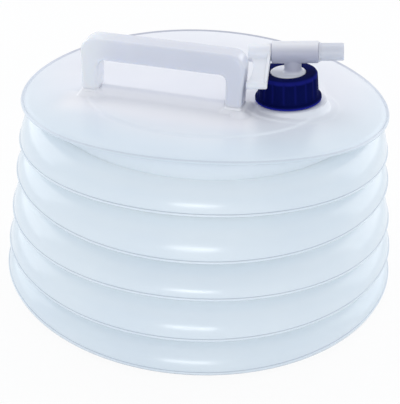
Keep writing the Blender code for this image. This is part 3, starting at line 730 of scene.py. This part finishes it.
def make_top_skin(material):
    """Blown top of the bottle: disc, shoulder, rib, boss skirts and ring 1."""
    azimuth = around(DOME_STEPS)
    disc = disc_rows(azimuth)
    rows = disc + bead_rows(1, azimuth)[1:] + flank_rows(1, azimuth)
    data = wall_mesh("top_skin", rows, azimuth)
    # Painted shade on the rim, darker towards the back, and weaker painted light on ring 1's
    # flank
    back = RIM_FRONT_SHADE + (1 - RIM_FRONT_SHADE) * soft_step(*RIM_BACK_SHADE, np.sin(azimuth))
    rim = [(0.0, share * back) for share in RIM_SHADE]
    flank = [(crease * RIM_FLANK_LIGHT, edge) for crease, edge in flank_light()]
    light_and_shade = [(0.0, 0.0)] * (len(disc) - 2) + rim + bead_shade()[2:] + flank
    mark_light_and_shade(data, light_and_shade, azimuth)
    mark_rib_light(data)
    cut_hole(data)
    add_piece("top_skin", data, material, "top", ("top_shell",))


def make_saddle(material):
    """The blown rib under the grip, on a finer grid than the disc's."""
    place = np.array(handle_frame())
    along = np.linspace(-RIB_HALF, RIB_HALF, SADDLE_ROWS)
    across = np.linspace(-RIB_REACH, RIB_REACH, SADDLE_COLUMNS)
    hx, hy = np.meshgrid(along, across, indexing='ij')
    x = place[0, 0] * hx + place[0, 1] * hy + place[0, 3]
    y = place[1, 0] * hx + place[1, 1] * hy + place[1, 3]
    rim = ring_radius(1) - BEAD_STAND
    lift = ring_lift(1, np.arctan2(y, x)) * (np.hypot(x, y) / rim) ** LIFT_POWER
    stand = SADDLE_STAND * (1 - 2 * (hy / RIB_REACH) ** SADDLE_POWER)
    top = np.stack([x, y, disc_height(x, y) + lift + stand], axis=-1)
    data = slab_mesh("saddle_skin", top, WALL / 2)
    mark_rib_light(data)
    add_piece("saddle_skin", data, material, "top", ())


def make_bellows_skin(material):
    """One blown wall with rings 2 to 5, from crease to crease."""
    azimuth = around(BOTTLE_STEPS)
    rows = []
    light_and_shade = []
    for ring in range(2, RING_COUNT):
        # A flank ends on the row that the next bulge starts with
        first = 1 if rows else 0
        rows += bulge_rows(ring, azimuth)[first:] + bead_rows(ring, azimuth)
        rows += flank_rows(ring, azimuth)
        light_and_shade += bulge_light()[first:] + bead_shade() + flank_light()
    data = wall_mesh("bellows_skin", rows, azimuth)
    mark_light_and_shade(data, light_and_shade, azimuth)
    folds = ["fold_%d" % ring for ring in range(2, RING_COUNT)]
    piece = add_piece("bellows_skin", data, material, "base", folds)
    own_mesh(piece)


def make_base_skin(material):
    """Blown base: lowest bulge, base ring, foot and pushed up middle."""
    azimuth = around(BOTTLE_STEPS)
    rows = bulge_rows(RING_COUNT, azimuth) + bead_rows(RING_COUNT, azimuth)
    level = BASE_RING_HEIGHT + ring_lift(RING_COUNT, azimuth) - BEAD_RADIUS
    outer = ring_radius(RING_COUNT) - BEAD_STAND
    for share in np.linspace(0, 1, FOOT_POINTS)[1:]:
        angle = share * math.pi / 2
        radius = FOOT_RADIUS + (outer - FOOT_RADIUS) * math.cos(angle)
        rows.append((radius, level * (1 - math.sin(angle))))
    rows.append((PUSH_UP_RADIUS + FOOT_ROUND * 2, 0))
    for share in np.linspace(0, 1, PUSH_UP_POINTS)[1:]:
        rise = PUSH_UP_HEIGHT * float(soft_step(0, 1, share))
        rows.append((PUSH_UP_RADIUS + FOOT_ROUND * (1 - share), rise))
    for radius in BASE_RIBS:
        rows += [(radius + offset, PUSH_UP_HEIGHT - drop) for offset, drop in BASE_RIB_SHAPE]
    rows.append((POLE, PUSH_UP_HEIGHT))
    light_and_shade = bulge_light() + bead_shade()
    light_and_shade += [(0.0, 0.0)] * (len(rows) - len(light_and_shade))
    data = wall_mesh("base_skin", rows, azimuth)
    mark_light_and_shade(data, light_and_shade, azimuth)
    add_piece("base_skin", data, material, "base", ("base_pan",))


def turned_mesh(name, outline, shape=None):
    """A turned form: outline points run down the outer side, closed on itself."""
    azimuth = around(TURN_STEPS[name])
    if shape:
        outline = [(shape(radius, height, azimuth), height) for radius, height in outline]
    return skin_mesh(name, to_grid(outline, azimuth))


def rounded_outline(points, corners=CORNER_POINTS):
    """An outline with chosen corners rounded; points are (r, z, rounding)."""
    result = []
    count = len(points)
    for i, (r, z, rounding) in enumerate(points):
        if rounding == 0:
            result.append((r, z))
            continue
        here = Vector((r, z))
        before = (Vector(points[i - 1][:2]) - here).normalized() * rounding
        after = (Vector(points[(i + 1) % count][:2]) - here).normalized() * rounding
        for k in range(corners + 1):
            share = k / corners
            spot = here + before * (1 - share) ** 2 + after * share ** 2
            result.append((spot.x, spot.y))
    return result


def baked(holder):
    """The mesh of an object with its modifiers applied; the object goes."""
    bpy.context.view_layer.update()
    graph = bpy.context.evaluated_depsgraph_get()
    data = bpy.data.meshes.new_from_object(holder.evaluated_get(graph))
    bpy.data.objects.remove(holder, do_unlink=True)
    return data


def rounded_boss(data):
    """A boss's mesh with its sharp edges rounded."""
    holder = linked("holder", data)
    edge = holder.modifiers.new("round", 'BEVEL')
    edge.width = BOSS_ROUND
    edge.segments = BEVEL_SEGMENTS
    edge.limit_method = 'ANGLE'
    edge.angle_limit = BEVEL_ANGLE
    return baked(holder)


def prism_mesh(name, outline, depth):
    """A plate with a given outline in X and Z, centred on Y."""
    count = len(outline)
    form = bmesh.new()
    front = [form.verts.new((x, -depth / 2, z)) for x, z in outline]
    back = [form.verts.new((x, depth / 2, z)) for x, z in outline]
    form.faces.new(front)
    form.faces.new(back[::-1])
    for i in range(count):
        j = (i + 1) % count
        form.faces.new((front[j], front[i], back[i], back[j]))
    bmesh.ops.recalc_face_normals(form, faces=form.faces)
    data = bpy.data.meshes.new(name)
    form.to_mesh(data)
    form.free()
    return data


def corner_arc(x, z, radius, count):
    """Points along a quarter turn round a place, from its right to its top."""
    points = []
    for i in range(count):
        angle = math.pi / 2 * i / (count - 1)
        points.append((x + radius * math.cos(angle), z + radius * math.sin(angle)))
    return points


def moulded(name, parts, cutters, rounds):
    """Join closed forms, cut others away and melt the corners into fillets."""
    base = linked(name + "_form", parts[0])
    joins = [(item, 'UNION') for item in parts[1:]] + [(item, 'DIFFERENCE') for item in cutters]
    tools = []
    for data, operation in joins:
        tools.append(linked("tool", data))
        joined = base.modifiers.new("join", 'BOOLEAN')
        joined.object = tools[-1]
        joined.operation = operation
        joined.solver = 'EXACT'
    melt = base.modifiers.new("melt", 'REMESH')
    melt.mode = 'VOXEL'
    melt.voxel_size = MELT_VOXEL
    ease = base.modifiers.new("ease", 'SMOOTH')
    ease.factor = EASE_FACTOR
    ease.iterations = rounds
    data = baked(base)
    for tool in tools:
        bpy.data.objects.remove(tool, do_unlink=True)
    return data


def round_long_edges(data, foot):
    """Round the handle's front and back edges, and leave its feet square."""
    form = bmesh.new()
    form.from_mesh(data)
    edges = []
    for edge in form.edges:
        highest = max(vert.co.z for vert in edge.verts)
        along = abs(edge.verts[0].co.y - edge.verts[1].co.y) < HANDLE_ROUND
        if along and highest > foot + HANDLE_ROUND:
            edges.append(edge)
    bmesh.ops.bevel(form, geom=edges, offset=HANDLE_ROUND, segments=BEVEL_SEGMENTS,
                    profile=BEVEL_PROFILE, affect='EDGES')
    form.to_mesh(data)
    form.free()


def mark_leg_light(data):
    """Cut the handle's left end into strips, and mark painted light on them, paler towards its
    end.
    """
    form = bmesh.new()
    form.from_mesh(data)
    for x in np.linspace(LEG_LIGHT_END, LEG_LIGHT_START, LEG_LIGHT_CUTS):
        everything = form.verts[:] + form.edges[:] + form.faces[:]
        bmesh.ops.bisect_plane(form, geom=everything, plane_co=(x, 0, 0), plane_no=(1, 0, 0))
    form.to_mesh(data)
    form.free()
    mark(data, "painted_light", 1 - soft_step(LEG_LIGHT_END, LEG_LIGHT_START, places(data)[:, 0]))


def make_handle(material):
    """Bridge handle with soft edges, standing on its two bosses."""
    right = LEG_SPACING / 2
    half = LEG_WIDTH / 2
    foot = BOSS_TOP + FOOT_GAP
    shoulder = corner_arc(right + half + LEG_FLARE - HANDLE_CORNER, HANDLE_TOP - HANDLE_CORNER,
                          HANDLE_CORNER, HANDLE_CORNER_POINTS)
    finger = corner_arc(right - half - GRIP_CORNER, HANDLE_TOP - GRIP_HEIGHT - GRIP_CORNER,
                        GRIP_CORNER, GRIP_CORNER_POINTS)
    points = [(right - half, foot), (right + half, foot)] + shoulder
    points += [(-x, z) for x, z in shoulder[::-1]]
    points += [(-right - half, foot), (-right + half, foot)]
    points += [(-x, z) for x, z in finger] + finger[::-1]
    data = prism_mesh("handle_skin", points, HANDLE_DEPTH)
    round_long_edges(data, foot)
    mark_leg_light(data)
    data.transform(handle_frame())
    add_piece("handle_skin", data, material, "top", ("carry_handle",),
              MOULDED_ANGLE)


def make_bosses(material):
    """The two blown bosses that hold the handle's feet."""
    wide = LEG_WIDTH / 2 + BOSS_MARGIN
    for side, x in (("left", -LEG_SPACING / 2), ("right", LEG_SPACING / 2)):
        name = "boss_" + side
        low, high = x - wide, x + wide
        outline = [(low, BOSS_ROOT), (high, BOSS_ROOT), (high, BOSS_TOP), (low, BOSS_TOP)]
        data = rounded_boss(prism_mesh(name, outline, HANDLE_DEPTH + 2 * BOSS_MARGIN))
        data.transform(handle_frame())
        mark_rib_light(data)
        add_piece(name, data, material, "top", (), MOULDED_ANGLE)


def threaded(radius, height, azimuth):
    """The neck's radius at one height, with its thread's ridge."""
    if radius < NECK_RADIUS or not THREAD_START <= height <= NECK_RIM - THREAD_START:
        return radius
    phase = np.mod(height / THREAD_PITCH - azimuth / (2 * math.pi), 1)
    ridge = np.clip(THREAD_CREST - THREAD_SLOPE * np.abs(phase - 0.5), 0, 1)
    return radius + THREAD_STAND * ridge


def make_neck(material):
    """Threaded neck inside the collar."""
    outline = [(NECK_RADIUS, NECK_RIM - NECK_RIM * i / NECK_ROWS) for i in range(NECK_ROWS + 1)]
    outline += [(NECK_RADIUS, -NECK_SINK), (NECK_BORE, -NECK_SINK), (NECK_BORE, NECK_RIM)]
    data = turned_mesh("neck_thread", outline, threaded)
    data.transform(neck_frame())
    add_piece("neck_thread", data, material, "top", ())


def dense_skirt(outline):
    """A collar's outline with more points down its tall outer side."""
    dense = []
    for i, (r, z) in enumerate(outline):
        dense.append((r, z))
        r2, z2 = outline[(i + 1) % len(outline)]
        if min(r, r2) > COLLAR_BORE and abs(z2 - z) > SKIRT_HEIGHT:
            dense += [(r + (r2 - r) * k / SKIRT_ROWS, z + (z2 - z) * k / SKIRT_ROWS)
                      for k in range(1, SKIRT_ROWS)]
    return dense


def flute_wave(turn, power):
    """One in the middle of each of the collar's flutes and zero between two of them."""
    return np.abs(np.sin(turn * COLLAR_FLUTES / 2)) ** power


def make_collar(material):
    """Blue screw collar with fluted skirt and flanged foot."""
    place = neck_frame()
    high = local_extent("screw_collar", place)[1]
    tall = float(high[2])
    flange = float(high[0])
    top = COLLAR_RADIUS - COLLAR_TAPER
    outline = rounded_outline([
        (COLLAR_HOLE, tall, HOLE_ROUND), (top, tall, COLLAR_ROUND),
        (COLLAR_RADIUS, FLANGE_HEIGHT, EDGE_ROUND),
        (flange, FLANGE_HEIGHT - FLANGE_SLOPE, EDGE_ROUND), (flange, 0, EDGE_ROUND),
        (COLLAR_BORE, 0, 0), (COLLAR_BORE, tall - COLLAR_CROWN, 0),
        (COLLAR_HOLE, tall - COLLAR_CROWN, 0)], COLLAR_CORNER_POINTS)

    def fluted(radius, height, azimuth):
        if radius < COLLAR_BORE + BORE_MARGIN:
            return radius
        foot = soft_step(FLANGE_HEIGHT, FLANGE_HEIGHT + FLUTE_FOOT, height)
        end = 1 - soft_step(tall - COLLAR_ROUND * FLUTE_END, tall, height)
        return radius - FLUTE_DEPTH * flute_wave(azimuth, FLUTE_SHARPNESS) * foot * end

    data = turned_mesh("collar_skin", dense_skirt(outline), fluted)
    # Painted highlights: paler lines along the flutes, round the foot's lip and round the crown
    x, y, height = places(data).T
    radius = np.hypot(x, y)
    skirt = soft_step(FLANGE_HEIGHT, FLANGE_HEIGHT + FLUTE_FOOT, height)
    skirt = skirt * (1 - soft_step(tall - GLINT_TOP, tall - GLINT_END, height))
    flute_glint = flute_wave(np.arctan2(y, x), FLUTE_GLINT_SHARPNESS)
    flute_glint = flute_glint * skirt * FLUTE_GLINT_SHARE * (radius > COLLAR_BORE)
    lip = (1 - soft_step(*LIP_GLINT, height)) * (radius > COLLAR_RADIUS)
    crown = np.exp(-((radius - top) / CROWN_GLINT) ** 2) * (height > tall - COLLAR_ROUND)
    mark(data, "edge", np.maximum(np.maximum(flute_glint, lip), crown * CROWN_GLINT_SHARE))
    data.transform(place)
    add_piece("collar_skin", data, material, "collar", ("screw_collar",),
              TURNED_ANGLE)


def along_x(data):
    """Lay a turned form down, so that its axis runs along X."""
    data.transform(Matrix.Rotation(math.pi / 2, 4, 'Y'))
    return data


def shifted(data, x=0.0, y=0.0, z=0.0):
    """Move a mesh."""
    data.transform(Matrix.Translation((x, y, z)))
    return data


def pin_mesh(name, radius, low, high, rounding):
    """A closed round pin."""
    outline = [(POLE, high, 0), (radius, high, rounding), (radius, low, rounding), (POLE, low, 0)]
    return turned_mesh(name, rounded_outline(outline))


def make_tap(material):
    """Tap body: flange, stem and barrel in one moulding."""
    place = rotor_frame()
    low = float(local_extent("tap_body", place)[0][2])
    step = low + TAP_FLANGE
    top = low + TAP_DISC_TOP
    flange = rounded_outline([
        (POLE, top, 0), (TAP_DISC_RADIUS, top, EDGE_ROUND), (TAP_DISC_RADIUS, step, 0),
        (TAP_FLANGE_RADIUS, step, END_ROUND), (TAP_FLANGE_RADIUS, low, END_ROUND),
        (POLE, low, 0)])
    stem = rounded_outline([
        (POLE, 0, 0), (STEM_RADIUS, 0, 0), (STEM_RADIUS, top + STEM_FLARE, STEM_ROUND),
        (STEM_RADIUS + STEM_FLARE, top, 0), (STEM_RADIUS + STEM_FLARE, low, 0), (POLE, low, 0)])
    solids = [
        along_x(pin_mesh("barrel", BARREL_RADIUS, -BARREL_LEFT, BARREL_RIGHT, END_ROUND)),
        turned_mesh("stem", stem),
        shifted(turned_mesh("flange", flange), x=-STEM_OFFSET)]
    cutters = [
        along_x(pin_mesh("bore", BARREL_BORE, -BARREL_LEFT - POKE, BARREL_RIGHT + POKE, 0)),
        pin_mesh("way", STEM_BORE, low - POKE, 0, 0)]
    data = moulded("tap_skin", solids, cutters, TAP_EASE)
    mark_top_light(data)
    data.transform(place)
    add_piece("tap_skin", data, material, "tap", ("tap_body",),
              MOULDED_ANGLE)


def make_rotor(material):
    """Turning nozzle with its bore, and the spigot that the lever drives."""
    left = -BARREL_LEFT - SPIGOT_LENGTH
    shoulder = BARREL_RIGHT + ROTOR_GAP
    wide = ROTOR_RADIUS + ROTOR_STAND
    end = BARREL_RIGHT + NOZZLE_REACH
    bore = NOZZLE_RADIUS - NOZZLE_WALL
    outline = rounded_outline([
        (POLE, left, 0), (SPIGOT_RADIUS, left, END_ROUND),
        (SPIGOT_RADIUS, -BARREL_LEFT, 0), (ROTOR_RADIUS, -BARREL_LEFT, END_ROUND),
        (ROTOR_RADIUS, shoulder, 0), (wide, shoulder, END_ROUND),
        (wide, shoulder + ROTOR_SHOULDER, EDGE_ROUND),
        (NOZZLE_RADIUS, shoulder + ROTOR_SHOULDER, 0),
        (NOZZLE_RADIUS, end - LIP_RUN, LIP_ROUND), (NOZZLE_RADIUS - LIP_DROP, end, EDGE_ROUND),
        (bore, end, LIP_ROUND), (bore, -BLIND_DEPTH, BLIND_ROUND), (POLE, -BLIND_DEPTH, 0)])
    data = along_x(turned_mesh("rotor_skin", outline[::-1]))
    data.transform(rotor_frame())
    add_piece("rotor_skin", data, material, "rotor", ("tap_rotor",),
              TURNED_ANGLE)


def make_lever(material):
    """T shaped lever: hub, waisted plate, rim and finger bar in one moulding."""
    right = -BARREL_LEFT - ROTOR_GAP
    left = right - HUB_LENGTH
    bar_right = right - BAR_SHIFT
    bar_left = bar_right - BAR_LENGTH
    waist = right - BAR_SHIFT * WAIST_SHARE - WAIST_WIDTH
    pull = 2 * waist - (left + bar_left) / 2
    curve = []
    for i in range(LEVER_CURVE_STEPS + 1):
        share = i / LEVER_CURVE_STEPS
        x = left * (1 - share) ** 2 + 2 * pull * share * (1 - share) + bar_left * share ** 2
        curve.append((x, -LEVER_LENGTH * share))
    outline = [(right, 0)] + curve + [(bar_right, -LEVER_LENGTH)]
    plate = prism_mesh("plate", outline, PLATE_THICK)
    outline = [(right - PLATE_RIM_WIDTH, 0), (right, 0), (bar_right, -LEVER_LENGTH),
               (bar_right - PLATE_RIM_WIDTH, -LEVER_LENGTH)]
    rim = prism_mesh("rim", outline, PLATE_RIM_HEIGHT)
    hub = along_x(pin_mesh("hub", HUB_RADIUS, left, right, END_ROUND))
    bar = along_x(pin_mesh("bar", BAR_RADIUS, bar_left, bar_right, BAR_ROUND))
    solids = [hub, plate, shifted(rim, y=(PLATE_THICK - PLATE_RIM_HEIGHT) / 2),
              shifted(bar, z=-LEVER_LENGTH)]
    data = moulded("lever_skin", solids, [], LEVER_EASE)
    data.transform(rotor_frame() @ Matrix.Rotation(-LEVER_ANGLE, 4, 'X'))
    add_piece("lever_skin", data, material, "rotor", ("tap_lever",),
              MOULDED_ANGLE)


def nodes_of(material):
    """A fresh node tree with one Principled shader wired to the output."""
    material.use_nodes = True
    tree = material.node_tree
    tree.nodes.clear()
    output = tree.nodes.new("ShaderNodeOutputMaterial")
    shader = tree.nodes.new("ShaderNodeBsdfPrincipled")
    tree.links.new(shader.outputs[0], output.inputs[0])
    return tree, shader


def add_node(tree, kind, inputs):
    """A node with each given input linked to an output or set to a value."""
    node = tree.nodes.new(kind)
    for key, value in inputs.items():
        if isinstance(value, bpy.types.NodeSocket):
            tree.links.new(value, node.inputs[key])
        else:
            node.inputs[key].default_value = value
    return node


def noise(tree, coordinates, scale, detail):
    """A noise pattern over the given coordinates."""
    inputs = {"Vector": coordinates, "Scale": scale, "Detail": detail}
    return add_node(tree, "ShaderNodeTexNoise", inputs).outputs[0]


def ramp(tree, value, dark, light):
    """Two colours laid along a pattern's value."""
    node = add_node(tree, "ShaderNodeValToRGB", {0: value})
    first, last = node.color_ramp.elements
    first.position, last.position = CLOUD_ENDS
    first.color = (*dark, 1)
    last.color = (*light, 1)
    return node.outputs[0]


def spread(tree, value, low, high):
    """A pattern's value stretched between two numbers."""
    inputs = {"Value": value, "From Min": PATCH_ENDS[0], "From Max": PATCH_ENDS[1],
              "To Min": low, "To Max": high}
    return add_node(tree, "ShaderNodeMapRange", inputs).outputs[0]


def bump(tree, value, depth, under=None):
    """Relief from a pattern, on top of any relief under it."""
    inputs = {"Height": value, "Distance": depth}
    if under is not None:
        inputs["Normal"] = under
    return add_node(tree, "ShaderNodeBump", inputs).outputs[0]


def from_axis(tree, coordinates):
    """Zero near the disc's middle and one towards its rim."""
    middle = add_node(tree, "ShaderNodeVectorMath", {0: coordinates, 1: (0, DISC_BACK, 0)})
    middle.operation = 'SUBTRACT'
    flat = add_node(tree, "ShaderNodeVectorMath", {0: middle.outputs[0], 1: (1, 1, 0)})
    flat.operation = 'MULTIPLY'
    length = add_node(tree, "ShaderNodeVectorMath", {0: flat.outputs[0]})
    length.operation = 'LENGTH'
    node = add_node(tree, "ShaderNodeMapRange", {
        "Value": length.outputs["Value"], "From Min": DISC_FADE[0], "From Max": DISC_FADE[1]})
    node.interpolation_type = 'SMOOTHSTEP'
    return node.outputs[0]


def mixed(tree, share, first, second):
    """Two colours mixed by a share."""
    node = tree.nodes.new("ShaderNodeMix")
    node.data_type = 'RGBA'
    tree.links.new(share, node.inputs[0])
    tree.links.new(first, node.inputs[6])
    tree.links.new(second, node.inputs[7])
    return node.outputs[2]


def painted_light_and_shade(tree, colour, tints):
    """A colour changed to each tint of painted light and shade as far as the mesh is marked with
    its name.
    """
    for name, tint in tints:
        share = tree.nodes.new("ShaderNodeAttribute")
        share.attribute_name = name
        flat = tree.nodes.new("ShaderNodeRGB")
        flat.outputs[0].default_value = (*tint, 1)
        colour = mixed(tree, share.outputs["Fac"], colour, flat.outputs[0])
    return colour


def plastic(name, light, dark, roughness, waviness, grain=0.00001, scatter=0.0, gloss=0.5,
            inside=None, tints=()):
    """Moulded plastic: clouded colour, uneven gloss, soft waves and fine grain."""
    material = bpy.data.materials.new(name)
    tree, shader = nodes_of(material)
    place = tree.nodes.new("ShaderNodeTexCoord").outputs["Object"]
    cloud = noise(tree, place, *CLOUDS)
    colour = ramp(tree, cloud, dark, light)
    if inside:
        colour = mixed(tree, from_axis(tree, place), ramp(tree, cloud, *inside), colour)
    colour = painted_light_and_shade(tree, colour, tints)
    tree.links.new(colour, shader.inputs["Base Color"])
    uneven = spread(tree, noise(tree, place, *PATCHES), roughness, roughness + ROUGHNESS_SPREAD)
    tree.links.new(uneven, shader.inputs["Roughness"])
    waves = bump(tree, noise(tree, place, *WAVES), waviness)
    relief = bump(tree, noise(tree, place, *GRAIN), grain, waves)
    tree.links.new(relief, shader.inputs["Normal"])
    shader.inputs["IOR"].default_value = PLASTIC_IOR
    shader.inputs["Subsurface Weight"].default_value = scatter
    shader.inputs["Subsurface Scale"].default_value = SCATTER_DEPTH
    shader.inputs["Subsurface Radius"].default_value = SCATTER_RADIUS
    shader.inputs["Specular IOR Level"].default_value = gloss
    return material


def seen_directly(tree):
    """One for rays that come straight from the camera or by a glossy piece."""
    path = tree.nodes.new("ShaderNodeLightPath")
    total = path.outputs["Is Camera Ray"]
    for name in ("Is Glossy Ray", "Is Transmission Ray"):
        larger = add_node(tree, "ShaderNodeMath", {0: total, 1: path.outputs[name]})
        larger.operation = 'MAXIMUM'
        total = larger.outputs[0]
    return total


def make_world():
    """Plain white surroundings whose light on the object stays soft."""
    world = bpy.data.worlds.new("studio")
    bpy.context.scene.world = world
    world.use_nodes = True
    tree = world.node_tree
    tree.nodes.clear()
    shown = add_node(tree, "ShaderNodeBackground", {"Color": (*WHITE, 1)})
    lighting = add_node(tree, "ShaderNodeBackground", {
        "Color": (*SKY_TINT, 1), "Strength": SKY_LEVEL})
    mix = add_node(tree, "ShaderNodeMixShader", {
        0: seen_directly(tree), 1: lighting.outputs[0], 2: shown.outputs[0]})
    add_node(tree, "ShaderNodeOutputWorld", {0: mix.outputs[0]})


def make_floor():
    """Pale floor that melts into the background and keeps a soft shadow."""
    data = bpy.data.meshes.new("floor")
    h = FLOOR_HALF
    data.from_pydata([(-h, -h, 0), (h, -h, 0), (h, h, 0), (-h, h, 0)], [], [(0, 1, 2, 3)])
    floor = linked("floor", data)
    floor.location.z = FLOOR_DROP
    material = bpy.data.materials.new("floor_paper")
    tree, shader = nodes_of(material)
    shader.inputs["Base Color"].default_value = (*FLOOR_COLOUR, 1)
    shader.inputs["Roughness"].default_value = FLOOR_ROUGHNESS
    shader.inputs["Specular IOR Level"].default_value = FLOOR_GLOSS
    glow = add_node(tree, "ShaderNodeEmission", {"Color": (*WHITE, 1)})
    share = add_node(tree, "ShaderNodeMath", {0: seen_directly(tree), 1: FLOOR_GLOW})
    share.operation = 'MULTIPLY'
    mix = add_node(tree, "ShaderNodeMixShader", {
        0: share.outputs[0], 1: shader.outputs[0], 2: glow.outputs[0]})
    output = next(node for node in tree.nodes if node.type == 'OUTPUT_MATERIAL')
    tree.links.new(mix.outputs[0], output.inputs[0])
    data.materials.append(material)


def softbox(name, azimuth, elevation, distance, size, power, tint):
    """A rectangular studio lamp aimed at the object's middle."""
    lamp = bpy.data.lights.new(name, 'AREA')
    lamp.shape = 'RECTANGLE'
    lamp.size, lamp.size_y = size
    lamp.energy = power
    lamp.color = tint
    holder = linked(name, lamp)
    turn, tilt = math.radians(azimuth), math.radians(elevation)
    flat = math.cos(tilt)
    away = Vector((math.sin(turn) * flat, -math.cos(turn) * flat, math.sin(tilt)))
    holder.location = Vector(LIGHT_TARGET) + away * distance
    holder.rotation_euler = away.to_track_quat('Z', 'Y').to_euler()


def make_camera():
    """Camera at the photograph's viewing angle."""
    lens = bpy.data.cameras.new("camera")
    lens.sensor_fit = 'HORIZONTAL'
    lens.sensor_width = SENSOR_WIDTH
    lens.lens = FOCAL_PX * SENSOR_WIDTH / PHOTO_WIDTH_PX
    camera = linked("camera", lens)
    flat = math.cos(CAMERA_PITCH)
    look = Vector((math.sin(-CAMERA_YAW) * flat, math.cos(CAMERA_YAW) * flat,
                   -math.sin(CAMERA_PITCH)))
    right = look.cross(Vector((0, 0, 1))).normalized()
    up = right.cross(look)
    level = right * math.cos(CAMERA_ROLL) + up * math.sin(CAMERA_ROLL)
    upright = up * math.cos(CAMERA_ROLL) - right * math.sin(CAMERA_ROLL)
    turn = Matrix((level, upright, -look)).transposed().to_4x4()
    camera.matrix_world = Matrix.Translation(CAMERA_PLACE) @ turn
    bpy.context.scene.camera = camera


def main():
    """Dress the frame and light it."""
    bpy.context.scene.view_settings.view_transform = 'Standard'
    make_camera()
    looks = {name: plastic(name, **look) for name, look in PLASTICS.items()}
    for name in ("neck_gasket", "lever_end_seal", "nozzle_end_seal"):
        frame["nodes"][name].material_slots[0].material = looks["seal_moulding"]
    make_base_skin(looks["milky_wall"])
    make_bellows_skin(looks["milky_wall"])
    make_top_skin(looks["milky_disc"])
    make_saddle(looks["milky_disc"])
    make_bosses(looks["milky_disc"])
    make_neck(looks["milky_wall"])
    make_handle(looks["white_moulding"])
    make_collar(looks["blue_moulding"])
    make_tap(looks["tap_moulding"])
    make_rotor(looks["nozzle_moulding"])
    make_lever(looks["lever_moulding"])
    make_world()
    make_floor()
    for lamp in LAMPS:
        softbox(*lamp)


main()
